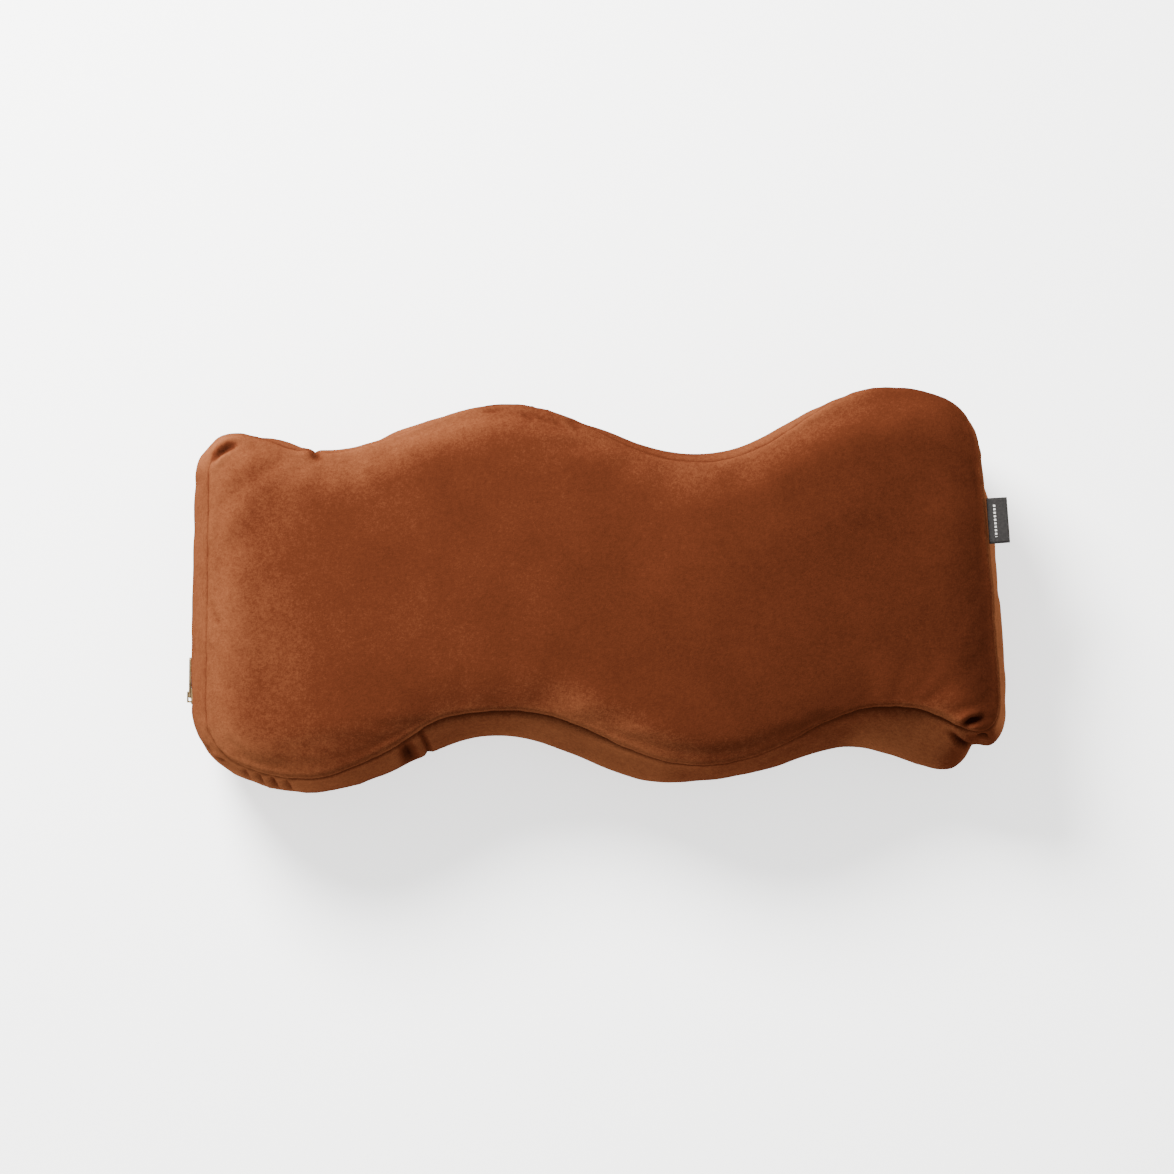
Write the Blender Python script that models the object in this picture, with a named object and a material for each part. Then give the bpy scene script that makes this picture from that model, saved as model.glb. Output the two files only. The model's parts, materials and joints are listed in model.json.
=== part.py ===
"""Camp pillow: a wave-cut foam core in an inner liner, inside a zipped velvet cover.

Metres, +Z up, +X along the pillow, the pillow lying on its underside at z = 0.
The cover is a boxed cover: a top and a bottom panel joined by a boxing strip. The
strip is in two lengths. The main boxing goes round the right end, and the zip boxing,
split in height by the zip, goes round the left end. Cross seams join them.
"""
import math

import bmesh
import bpy
from mathutils import Vector

# ---- Plan of the seam that joins a panel to the boxing
SEAM_LENGTH = 0.459          # between the two end seams
SEAM_WIDTH = 0.180           # between the front and the back seam, at the middle
WAVE_DEPTH = 0.0150          # how far the centre line swings to each side
WAVE_PITCH = 0.226           # length of one whole wave
CORNER_REACH = 0.020         # how far a rounded corner reaches along each side
RIGHT_FLARE = 0.0085         # extra half width that the right end fills out to
LEFT_FLARE = 0.0045          # the same at the left end
FLARE_START = 0.075          # distance from the middle where the ends start to widen
FLARE_END = 0.170            # distance from the middle where they are at full width
RIGHT_END_LEAN = 0.060       # run of the right end seam towards -X for each unit of +Y
FRONT_NOTCH_X = -0.1065      # cross seam between the two boxings, front side
BACK_NOTCH_X = -0.1695       # cross seam between the two boxings, back side

# ---- Heights
BOTTOM_SEAM_Z = 0.014
BOXING_HEIGHT = 0.074        # from the bottom seam to the top seam
TOP_SHOULDER = 0.014         # rise of the top panel over its rounded shoulder
TOP_CROWN = 0.004            # extra rise from the shoulder to the middle
SHOULDER_RUN = 0.028         # how far in from the seam a shoulder reaches
BOXING_BULGE = 0.0105        # how far the boxing swells beyond the seams

# ---- Cloth and the gaps between pieces
COVER_CLOTH = 0.0015
LINER_CLOTH = 0.0010
SEAM_GAP = 0.0003            # between two pieces sewn edge to edge
LAYER_GAP = 0.0005           # between the cover, the liner and the core
ZIP_POCKET = 0.0020          # extra room behind the boxing at half height, for the slider

# ---- Zip, straight across the left end at half the boxing's height
ZIP_END_MARGIN = 0.002       # from the slot's end to where the corner starts
ZIP_SLOT = 0.0160            # height of the slot between the two zip boxings
SLOT_END_RUN = 0.005         # length over which the slot closes at each end
TAPE_THICK = 0.0006
TAPE_RECESS = 0.0003         # tape face below the cloth's face
COIL_WIDTH = 0.0025          # one row of teeth, from its back to its tips
COIL_THICK = 0.0016
COIL_SLIT = 0.0016           # between the two rows, where the divider runs
TOOTH_PITCH = 0.0025
TOOTH_DEPTH = 0.0010
STOP_LENGTH = 0.0025
SLIDER_LENGTH = 0.0090
SLIDER_PLATE = 0.0012
SLIDER_CLEARANCE = 0.0003
FLANGE_WIDTH = 0.0010
DIVIDER_LENGTH = 0.0030
BAIL_WIDTH = 0.0016          # the arch that holds the pull tab
BAIL_BAR = 0.0010
BAIL_HALF_SPAN = 0.0033
TAB_THICK = 0.0012
TAB_WIDTH = 0.0070
TAB_LENGTH = 0.0240
TAB_WINDOW = 0.0042          # from the hinge axis to the far edge of the tab's window

# ---- Side label, folded double and sewn into the right end of the top seam
LABEL_WIDTH = 0.0270
LABEL_ROOT = 0.0009          # from the seam to the fold line it flaps about
LABEL_REACH = 0.0130         # from the fold line to its outer end
LABEL_PLY = 0.0006
LABEL_PLY_GAP = 0.0005
LABEL_ALONG_END = 0.0420     # from the middle of the end seam towards the back
LABEL_RISE = 0.0012          # its middle above the seam

# ---- Mesh steps
CORNER_STEPS = 2             # on each half of a corner
SIDE_STEP = 0.020            # longest edge along a wavy side
SLOT_STEPS = 4               # along the zip slot
BOXING_ROWS = 6
INNER_ROWS = 4

TOP_SEAM_Z = BOTTOM_SEAM_Z + BOXING_HEIGHT
MIDDLE_Z = BOTTOM_SEAM_Z + BOXING_HEIGHT / 2
HALF_LENGTH = SEAM_LENGTH / 2


# ---------------------------------------------------------------- plan outline

def smooth_step(low, high, value):
    """0 below low, 1 above high and a soft S between them."""
    share = min(max((value - low) / (high - low), 0.0), 1.0)
    return share * share * (3.0 - 2.0 * share)


def centre_line(x):
    """The wavy middle line of the pillow."""
    return -WAVE_DEPTH * math.sin(2 * math.pi * x / WAVE_PITCH)


def side_line(x, sign):
    """The seam on the front (-1) or the back (+1)."""
    flare = RIGHT_FLARE * smooth_step(FLARE_START, FLARE_END, x)
    flare += LEFT_FLARE * smooth_step(FLARE_START, FLARE_END, -x)
    return centre_line(x) + sign * (SEAM_WIDTH / 2 + flare)


def end_point(end, y):
    """The point of the end seam (-1 left, +1 right) at a given y."""
    lean = RIGHT_END_LEAN if end > 0 else 0.0
    return Vector((end * HALF_LENGTH - lean * (y - centre_line(end * HALF_LENGTH)), y))


def corner_curve(end, sign):
    """Three points of a corner: its start on the side, its tip and its start on the end."""
    x = end * (HALF_LENGTH - CORNER_REACH)
    start = Vector((x, side_line(x, sign)))
    step = SIDE_STEP / 100
    slope = (side_line(x + step, sign) - side_line(x - step, sign)) / (2 * step)
    run = end_point(end, start.y).x - start.x
    tip = start + Vector((run, slope * run))
    tip.x = end_point(end, tip.y).x
    finish = end_point(end, tip.y - sign * CORNER_REACH)
    return start, tip, finish


def corner_point(end, sign, share):
    """A point of a corner's curve, from the side (0) to the end seam (1)."""
    start, tip, finish = corner_curve(end, sign)
    rest = 1.0 - share
    return rest * rest * start + 2 * rest * share * tip + share * share * finish


def spread(low, high, steps):
    """Evenly spaced values from low to high, high left out."""
    return [low + (high - low) * k / steps for k in range(steps)]


def side_stations():
    """The x values along a wavy side, with one on each cross seam."""
    reach = HALF_LENGTH - CORNER_REACH
    breaks = [-reach, BACK_NOTCH_X, FRONT_NOTCH_X, reach]
    stations = []
    for low, high in zip(breaks, breaks[1:]):
        stations += spread(low, high, max(1, math.ceil((high - low) / SIDE_STEP)))
    return stations + [reach]


def side_points(sign):
    """The seam along one wavy side, from the middle of one corner to the next."""
    half = [0.5 - 0.5 * k / CORNER_STEPS for k in range(CORNER_STEPS)]
    left = [corner_point(-1, sign, share) for share in half]
    right = [corner_point(1, sign, share) for share in reversed(half)]
    wave = [Vector((x, side_line(x, sign))) for x in side_stations()]
    return left + wave + right


def straight_run(end):
    """The y values where the straight part of an end seam starts and stops."""
    return corner_curve(end, -1)[2].y, corner_curve(end, 1)[2].y


ZIP_MIDDLE_Y = sum(straight_run(-1)) / 2
LEFT_RUN = straight_run(-1)[1] - straight_run(-1)[0]
ZIP_HALF = LEFT_RUN / 2 - ZIP_END_MARGIN - SLOT_END_RUN


def end_points(end):
    """The seam along one end, from the middle of the front corner to the back one.

    The right end has the same stations as the left one, in proportion.
    """
    front, back = straight_run(end)
    middle = (front + back) / 2
    stretch = (back - front) / LEFT_RUN
    slot = ZIP_HALF * stretch
    closed = slot + SLOT_END_RUN * stretch
    half = [0.5 + 0.5 * k / CORNER_STEPS for k in range(CORNER_STEPS)]
    heights = [front, middle - closed] + spread(middle - slot, middle + slot, SLOT_STEPS)
    heights += [middle + slot, middle + closed, back]
    first = [corner_point(end, -1, share) for share in half]
    last = [corner_point(end, 1, share) for share in reversed(half)]
    return first + [end_point(end, y) for y in heights] + last


def seam_loop():
    """The whole seam line, anticlockwise from the front left corner, and its sides."""
    front = side_points(-1)
    back = side_points(1)
    right = end_points(1)
    left = end_points(-1)
    loop = front[:-1] + right[:-1] + back[:0:-1] + left[:0:-1]
    return loop, len(front) - 1, len(right) - 1


LOOP, LONG_STEPS, SHORT_STEPS = seam_loop()


def outward(index):
    """The horizontal normal of the seam line at one of its points."""
    ahead = LOOP[(index + 1) % len(LOOP)]
    behind = LOOP[index - 1]
    along = (ahead - behind).normalized()
    return Vector((along.y, -along.x))


NORMALS = [outward(index) for index in range(len(LOOP))]


def bulge(share, height):
    """Swell of a boxing at a share of its height, 0 and 1 being the two seams."""
    return height * math.sin(math.pi * share)


def boxing_point(index, share, inset, height):
    """A point of a boxing's face: inset from the seam, swollen by its bulge."""
    flat = LOOP[index] + NORMALS[index] * (bulge(share, height) - inset)
    return Vector((flat.x, flat.y, BOTTOM_SEAM_Z + share * BOXING_HEIGHT))


# ---------------------------------------------------------------- zip depths
# Distances out from the left end seam, towards -X.

SLOT_SHARE = 0.5 + ZIP_SLOT / 2 / BOXING_HEIGHT
TAPE_OUT = bulge(SLOT_SHARE, BOXING_BULGE) - TAPE_RECESS
TAPE_IN = TAPE_OUT - TAPE_THICK
COIL_IN = TAPE_IN - SLIDER_CLEARANCE
COIL_OUT = COIL_IN + COIL_THICK
COIL_EDGE = COIL_SLIT / 2 + COIL_WIDTH               # from the zip's middle to a row's back
CHAIN_HALF = ZIP_HALF - STOP_LENGTH - SEAM_GAP
FRONT_PLATE_IN = COIL_OUT + SLIDER_CLEARANCE
FRONT_PLATE_OUT = FRONT_PLATE_IN + SLIDER_PLATE
BACK_PLATE_OUT = COIL_IN - SLIDER_CLEARANCE
BACK_PLATE_IN = BACK_PLATE_OUT - SLIDER_PLATE
TAB_AXIS_OUT = FRONT_PLATE_OUT + SLIDER_CLEARANCE + TAB_THICK / 2
BAIL_IN = TAB_AXIS_OUT + TAB_THICK / 2 + SLIDER_CLEARANCE
BAIL_OUT = BAIL_IN + BAIL_BAR
SLIDER_HALF_HEIGHT = COIL_EDGE + SLIDER_CLEARANCE + FLANGE_WIDTH


def middle_shift():
    """The move that puts the origin under the middle of the pillow and its zip."""
    edge = [boxing_point(k, 0.5, 0.0, BOXING_BULGE) for k in range(len(LOOP))]
    left = -HALF_LENGTH - BAIL_OUT
    right = max(point.x for point in edge)
    front = min(point.y for point in edge)
    back = max(point.y for point in edge)
    return Vector((-(left + right) / 2, -(front + back) / 2, 0.0))


SHIFT = middle_shift()


# ---------------------------------------------------------------- mesh helpers

def material(name, colour, roughness, metallic=0.0):
    """A plain surface: colour, roughness and metallic value."""
    surface = bpy.data.materials.new(name)
    surface.use_nodes = True
    shader = surface.node_tree.nodes["Principled BSDF"]
    shader.inputs["Base Color"].default_value = (*colour, 1.0)
    shader.inputs["Roughness"].default_value = roughness
    shader.inputs["Metallic"].default_value = metallic
    surface.diffuse_color = (*colour, 1.0)
    return surface


def finish(name, mesh_data, surface, origin=Vector((0, 0, 0)), parent=None):
    """Turn a bmesh drawn in the seam's frame into a named object."""
    bmesh.ops.recalc_face_normals(mesh_data, faces=mesh_data.faces)
    bmesh.ops.translate(mesh_data, verts=mesh_data.verts, vec=SHIFT - origin)
    mesh = bpy.data.meshes.new(name)
    mesh_data.to_mesh(mesh)
    mesh_data.free()
    mesh.materials.append(surface)
    mesh.shade_smooth()
    mesh.set_sharp_from_angle(angle=math.radians(40))
    thing = bpy.data.objects.new(name, mesh)
    bpy.context.scene.collection.objects.link(thing)
    thing.parent = parent
    thing.location = origin if parent is None else origin - parent.location
    return thing


def loft(sections, ring=False):
    """A solid swept through closed sections, capped unless the sections form a ring."""
    solid = bmesh.new()
    rows = [[solid.verts.new(point) for point in section] for section in sections]
    pairs = list(zip(rows, rows[1:]))
    if ring:
        pairs.append((rows[-1], rows[0]))
    for low, high in pairs:
        for k in range(len(low)):
            after = (k + 1) % len(low)
            solid.faces.new((low[k], low[after], high[after], high[k]))
    if not ring:
        solid.faces.new(list(reversed(rows[0])))
        solid.faces.new(rows[-1])
    return solid


def box(low, high):
    """A cuboid between two corners."""
    solid = bmesh.new()
    bmesh.ops.create_cube(solid, size=1.0)
    size = Vector(high) - Vector(low)
    bmesh.ops.scale(solid, verts=solid.verts, vec=size)
    bmesh.ops.translate(solid, verts=solid.verts, vec=(Vector(high) + Vector(low)) / 2)
    return solid


def shaped_by(thing, cutters, operation):
    """Join or cut an object with helper solids that are not pieces themselves."""
    for cutter in cutters:
        cutter.hide_render = True
        cutter.display_type = "WIRE"
        change = thing.modifiers.new(operation.title(), "BOOLEAN")
        change.operation = operation
        change.solver = "EXACT"
        change.object = cutter


# ---------------------------------------------------------------- soft layers

def shoulder(distance):
    """Share of a shoulder's rise at a distance in from the seam."""
    share = min(max(distance / SHOULDER_RUN, 0.0), 1.0)
    return math.sqrt(1.0 - (1.0 - share) ** 2)


def four_sides(loop):
    """A loop's front, back, right and left side, each drawn towards +X or +Y."""
    count = len(loop)
    front = [loop[i] for i in range(LONG_STEPS + 1)]
    back = [loop[(2 * LONG_STEPS + SHORT_STEPS - i) % count] for i in range(LONG_STEPS + 1)]
    right = [loop[LONG_STEPS + j] for j in range(SHORT_STEPS + 1)]
    left = [loop[-j % count] for j in range(SHORT_STEPS + 1)]
    return front, back, right, left


def shares(points):
    """How far along a line each of its points is, as a share, and the line's length."""
    reach = [0.0]
    for before, after in zip(points, points[1:]):
        reach.append(reach[-1] + (after - before).length)
    return [value / reach[-1] for value in reach], reach[-1]


# Every layer's panel shares these, so that nested layers stay parallel.
ALONG, PANEL_LENGTH = shares(four_sides(LOOP)[0])
ACROSS, PANEL_WIDTH = shares(four_sides(LOOP)[3])


def panel_grid(inset, base_z, rise, crown):
    """Rows of points over a panel, spanning the seam line moved in by inset."""
    edge = [point - normal * inset for point, normal in zip(LOOP, NORMALS)]
    front, back, right, left = four_sides(edge)
    rows = []
    for j, v in enumerate(ACROSS):
        row = []
        for i, u in enumerate(ALONG):
            flat = (1 - v) * front[i] + v * back[i] + (1 - u) * left[j] + u * right[j]
            flat -= (1 - u) * (1 - v) * front[0] + u * (1 - v) * front[-1]
            flat -= (1 - u) * v * back[0] + u * v * back[-1]
            lift = shoulder(min(u, 1 - u) * PANEL_LENGTH)
            lift *= shoulder(min(v, 1 - v) * PANEL_WIDTH)
            swell = math.sin(math.pi * u) * math.sin(math.pi * v)
            height = base_z + rise * lift + crown * lift * swell
            row.append(Vector((flat.x, flat.y, height)))
        rows.append(row)
    return rows


def add_grid(solid, rows):
    """Triangles over rows of points, each cut on the diagonal that points at the nearest
    corner, so that nested layers fold alike. Returns the rim's vertices in order."""
    verts = [[solid.verts.new(point) for point in row] for row in rows]
    for j, (low, high) in enumerate(zip(verts, verts[1:])):
        for k in range(len(low) - 1):
            quad = [low[k], low[k + 1], high[k + 1], high[k]]
            rising = (2 * k < len(low) - 1) == (2 * j < len(verts) - 1)
            start = 0 if rising else 1
            corners = quad[start:] + quad[:start]
            solid.faces.new(corners[:3])
            solid.faces.new((corners[0], corners[2], corners[3]))
    right = [row[-1] for row in verts[1:-1]]
    left = [row[0] for row in verts[-2:0:-1]]
    return verts[0] + right + verts[-1][::-1] + left


def add_band(solid, low, high):
    """Faces between two closed rings of as many vertices."""
    for k in range(len(low)):
        after = (k + 1) % len(low)
        solid.faces.new((low[k], low[after], high[after], high[k]))


def panel(name, surface, inset, cloth, side):
    """A domed cloth panel (side +1 top, -1 bottom) with a flat rim on the seam plane."""
    seam_z = TOP_SEAM_Z if side > 0 else BOTTOM_SEAM_Z
    base_z = seam_z + side * SEAM_GAP / 2
    rise = (TOP_SHOULDER if side > 0 else BOTTOM_SEAM_Z) - inset - SEAM_GAP / 2
    crown = TOP_CROWN if side > 0 else 0.0
    solid = bmesh.new()
    outer = add_grid(solid, panel_grid(inset, base_z, side * rise, side * crown))
    inner_rise = side * (rise - cloth)
    inner = add_grid(solid, panel_grid(inset + cloth, base_z, inner_rise, side * crown))
    add_band(solid, outer, inner)
    return finish(name, solid, surface)


def strip_section(index, low, high, rows, inset, cloth, height):
    """The closed section of a boxing at one point of the seam line."""
    shares = [low + (high - low) * k / rows for k in range(rows + 1)]
    outer = [boxing_point(index, share, inset, height) for share in shares]
    inner = [boxing_point(index, share, inset + cloth, height) for share in reversed(shares)]
    return outer + inner


def notch_index(x, first, last):
    """The seam line's point on a cross seam, searched for along one side."""
    return min(range(first, last), key=lambda k: abs(LOOP[k].x - x))


RIM_SHARE = SEAM_GAP / 2 / BOXING_HEIGHT
FRONT_NOTCH = notch_index(FRONT_NOTCH_X, 0, LONG_STEPS)
BACK_START = LONG_STEPS + SHORT_STEPS
BACK_NOTCH = notch_index(BACK_NOTCH_X, BACK_START, BACK_START + LONG_STEPS)


def trimmed(sections):
    """Sections of a strip whose two ends stop half a seam gap short of the cross seam."""
    for end, inside in ((0, 1), (-1, -2)):
        gap = SEAM_GAP / 2
        moved = []
        for point, other in zip(sections[end], sections[inside]):
            moved.append(point + (other - point).normalized() * gap)
        sections[end] = moved
    return sections


def main_boxing(surface):
    """The one-piece boxing from the front cross seam round the right end to the back one."""
    sections = []
    for index in range(FRONT_NOTCH, BACK_NOTCH + 1):
        sections.append(strip_section(index, RIM_SHARE, 1 - RIM_SHARE, BOXING_ROWS,
                                      0.0, COVER_CLOTH, BOXING_BULGE))
    finish("cover_main_boxing", loft(trimmed(sections)), surface)


def zip_boxing(name, surface, side):
    """Half of the boxing round the left end, above (+1) or below (-1) the zip."""
    slot_half = ZIP_SLOT / 2 / BOXING_HEIGHT
    sections = []
    for step in range(BACK_NOTCH, len(LOOP) + FRONT_NOTCH + 1):
        index = step % len(LOOP)
        on_end = step > BACK_START + LONG_STEPS and step < len(LOOP)
        beside_zip = abs(LOOP[index].y - ZIP_MIDDLE_Y) < ZIP_HALF + SLOT_END_RUN / 2
        edge = slot_half if on_end and beside_zip else RIM_SHARE
        low, high = 0.5 + edge, 1 - RIM_SHARE
        if side < 0:
            low, high = RIM_SHARE, 0.5 - edge
        sections.append(strip_section(index, low, high, BOXING_ROWS // 2,
                                      0.0, COVER_CLOTH, BOXING_BULGE))
    finish(name, loft(trimmed(sections)), surface)


LINER_INSET = COVER_CLOTH + LAYER_GAP
LINER_BULGE = BOXING_BULGE - ZIP_POCKET
CORE_INSET = LINER_INSET + LINER_CLOTH + LAYER_GAP


def liner_boxing(surface):
    """The liner's side, one closed ring."""
    sections = []
    for index in range(len(LOOP)):
        sections.append(strip_section(index, RIM_SHARE, 1 - RIM_SHARE, INNER_ROWS,
                                      LINER_INSET, LINER_CLOTH, LINER_BULGE))
    finish("liner_boxing", loft(sections, ring=True), surface)


def foam_core(surface):
    """The foam block, which fills the liner."""
    solid = bmesh.new()
    top_rise = TOP_SHOULDER - CORE_INSET
    rings = [add_grid(solid, panel_grid(CORE_INSET, BOTTOM_SEAM_Z, CORE_INSET - BOTTOM_SEAM_Z, 0))]
    for row in range(1, INNER_ROWS):
        share = row / INNER_ROWS
        points = [boxing_point(k, share, CORE_INSET, LINER_BULGE) for k in range(len(LOOP))]
        rings.append([solid.verts.new(point) for point in points])
    rings.append(add_grid(solid, panel_grid(CORE_INSET, TOP_SEAM_Z, top_rise, TOP_CROWN)))
    for low, high in zip(rings, rings[1:]):
        add_band(solid, low, high)
    finish("foam_core", solid, surface)


# ---------------------------------------------------------------- zip

def zip_box(out_low, out_high, y_low, y_high, z_low, z_high):
    """A cuboid at given distances out from the left end, y from the zip's middle."""
    low = (-HALF_LENGTH - out_high, ZIP_MIDDLE_Y + y_low, MIDDLE_Z + z_low)
    high = (-HALF_LENGTH - out_low, ZIP_MIDDLE_Y + y_high, MIDDLE_Z + z_high)
    return box(low, high)


def zip_tape(name, surface, side):
    """The woven tape between a zip boxing's edge and its row of teeth."""
    low = COIL_EDGE + SEAM_GAP
    high = ZIP_SLOT / 2 - SEAM_GAP
    if side < 0:
        low, high = -high, -low
    finish(name, zip_box(TAPE_IN, TAPE_OUT, -ZIP_HALF, ZIP_HALF, low, high), surface)


def zip_teeth(name, surface, side):
    """One row of teeth: a bar with a tooth at each pitch, facing the other row."""
    count = int(2 * CHAIN_HALF / TOOTH_PITCH)
    start = -count * TOOTH_PITCH / 2
    tip = side * COIL_SLIT / 2
    root = side * (COIL_SLIT / 2 + TOOTH_DEPTH)
    outline = [(start, side * COIL_EDGE)]
    for tooth in range(count):
        foot = start + tooth * TOOTH_PITCH
        outline += [(foot, root), (foot, tip)]
        outline += [(foot + TOOTH_PITCH / 2, tip), (foot + TOOTH_PITCH / 2, root)]
    outline += [(-start, root), (-start, side * COIL_EDGE)]
    solid = bmesh.new()
    points = [(-HALF_LENGTH - COIL_IN, ZIP_MIDDLE_Y + y, MIDDLE_Z + z) for y, z in outline]
    face = solid.faces.new([solid.verts.new(point) for point in points])
    raised = bmesh.ops.extrude_face_region(solid, geom=[face])["geom"]
    tops = [item for item in raised if isinstance(item, bmesh.types.BMVert)]
    bmesh.ops.translate(solid, verts=tops, vec=(-COIL_THICK, 0, 0))
    finish(name, solid, surface)


def zip_stop(name, surface, end):
    """The metal clamp across the chain at one end."""
    near = CHAIN_HALF + SEAM_GAP
    low, high = sorted((end * near, end * (near + STOP_LENGTH)))
    edge = COIL_EDGE
    finish(name, zip_box(COIL_IN, COIL_OUT, low, high, -edge, edge), surface)


def slider_y():
    """The slider's middle at rest, closed against the front stop, from the zip's middle."""
    return -CHAIN_HALF + SLIDER_CLEARANCE + SLIDER_LENGTH / 2


def zip_slider(surface):
    """The slider: a plate on each side of the chain, a divider, flanges and a bail."""
    y = slider_y()
    half = SLIDER_LENGTH / 2
    edge = SLIDER_HALF_HEIGHT
    origin = Vector((-HALF_LENGTH, ZIP_MIDDLE_Y + y, MIDDLE_Z)) + SHIFT
    plate = zip_box(FRONT_PLATE_IN, FRONT_PLATE_OUT, y - half, y + half, -edge, edge)
    slider = finish("zip_slider", plate, surface, origin)
    divider_half = COIL_SLIT / 2 - SLIDER_CLEARANCE
    overlap = SLIDER_PLATE / 4
    flange_in = TAPE_OUT + SLIDER_CLEARANCE
    pieces = [
        (BACK_PLATE_IN, BACK_PLATE_OUT, y - half, y + half, -edge, edge),
        (BACK_PLATE_OUT - overlap, FRONT_PLATE_IN + overlap, y - half, y - half + DIVIDER_LENGTH,
         -divider_half, divider_half),
        (flange_in, FRONT_PLATE_IN + overlap, y - half, y + half, edge - FLANGE_WIDTH, edge),
        (flange_in, FRONT_PLATE_IN + overlap, y - half, y + half, -edge, FLANGE_WIDTH - edge),
        (BAIL_IN, BAIL_OUT, y - BAIL_HALF_SPAN, y + BAIL_HALF_SPAN,
         -BAIL_WIDTH / 2, BAIL_WIDTH / 2),
        (FRONT_PLATE_OUT - overlap, BAIL_IN + overlap, y - BAIL_HALF_SPAN,
         y - BAIL_HALF_SPAN + BAIL_BAR, -BAIL_WIDTH / 2, BAIL_WIDTH / 2),
        (FRONT_PLATE_OUT - overlap, BAIL_IN + overlap, y + BAIL_HALF_SPAN - BAIL_BAR,
         y + BAIL_HALF_SPAN, -BAIL_WIDTH / 2, BAIL_WIDTH / 2),
    ]
    helpers = [finish("slider_helper", zip_box(*piece), surface) for piece in pieces]
    shaped_by(slider, helpers, "UNION")
    return slider


def pull_tab(surface):
    """The pull tab: a plate whose end bar passes under the bail, lying along the chain."""
    y = slider_y()
    bar = BAIL_HALF_SPAN - BAIL_BAR - SLIDER_CLEARANCE
    half = TAB_THICK / 2
    low, high = TAB_AXIS_OUT - half, TAB_AXIS_OUT + half
    origin = Vector((-HALF_LENGTH - TAB_AXIS_OUT, ZIP_MIDDLE_Y + y, MIDDLE_Z)) + SHIFT
    plate = zip_box(low, high, y - half, y - half + TAB_LENGTH, -TAB_WIDTH / 2, TAB_WIDTH / 2)
    far = [edge for edge in plate.edges if is_far_corner(edge)]
    bmesh.ops.bevel(plate, geom=far, offset=TAB_WIDTH / 4, offset_type="OFFSET", segments=3,
                    profile=0.5, affect="EDGES", material=-1)
    tab = finish("zip_pull_tab", plate, surface, origin)
    window = BAIL_WIDTH / 2 + SLIDER_CLEARANCE
    far_hole = TAB_LENGTH - TAB_WIDTH / 2
    hole = TAB_WIDTH / 5
    cuts = [
        (low - half, high + half, y + half, y + TAB_WINDOW, -window, window),
        (low - half, high + half, y + far_hole - 2 * hole, y + far_hole, -hole, hole),
    ]
    assert half < bar, "the tab's end bar must fit under the bail"
    helpers = [finish("tab_helper", zip_box(*cut), surface) for cut in cuts]
    shaped_by(tab, helpers, "DIFFERENCE")
    return tab


def is_far_corner(edge):
    """Whether an edge of the tab's blank is one of the two at its free end."""
    first, second = (vert.co for vert in edge.verts)
    free_end = ZIP_MIDDLE_Y + slider_y() + TAB_LENGTH / 2
    return min(first.y, second.y) > free_end and abs(first.x - second.x) > TAB_THICK / 2


# ---------------------------------------------------------------- side label

def side_label(surface):
    """The folded label: two plies and a round fold, standing out from the end seam."""
    root = end_point(1, centre_line(HALF_LENGTH) + LABEL_ALONG_END)
    along = Vector((-RIGHT_END_LEAN, 1.0)).normalized()
    out = Vector((along.y, -along.x))
    root += out * LABEL_ROOT
    inner = LABEL_PLY_GAP / 2
    outer = inner + LABEL_PLY
    fold = LABEL_REACH - outer
    turn = [math.radians(90 - 30 * k) for k in range(7)]
    profile = [(0.0, outer), (fold, outer)]
    profile += [(fold + outer * math.cos(a), outer * math.sin(a)) for a in turn[1:-1]]
    profile += [(fold, -outer), (0.0, -outer), (0.0, -inner), (fold, -inner)]
    profile += [(fold + inner * math.cos(a), inner * math.sin(a)) for a in turn[-2:0:-1]]
    profile += [(fold, inner), (0.0, inner)]
    sections = []
    for half in (-LABEL_WIDTH / 2, LABEL_WIDTH / 2):
        section = []
        for reach, rise in profile:
            flat = root + along * half + out * reach
            section.append(Vector((flat.x, flat.y, TOP_SEAM_Z + LABEL_RISE + rise)))
        sections.append(section)
    hinge = Vector((root.x, root.y, TOP_SEAM_Z + LABEL_RISE)) + SHIFT
    return finish("side_label", loft(sections), surface, hinge)


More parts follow.
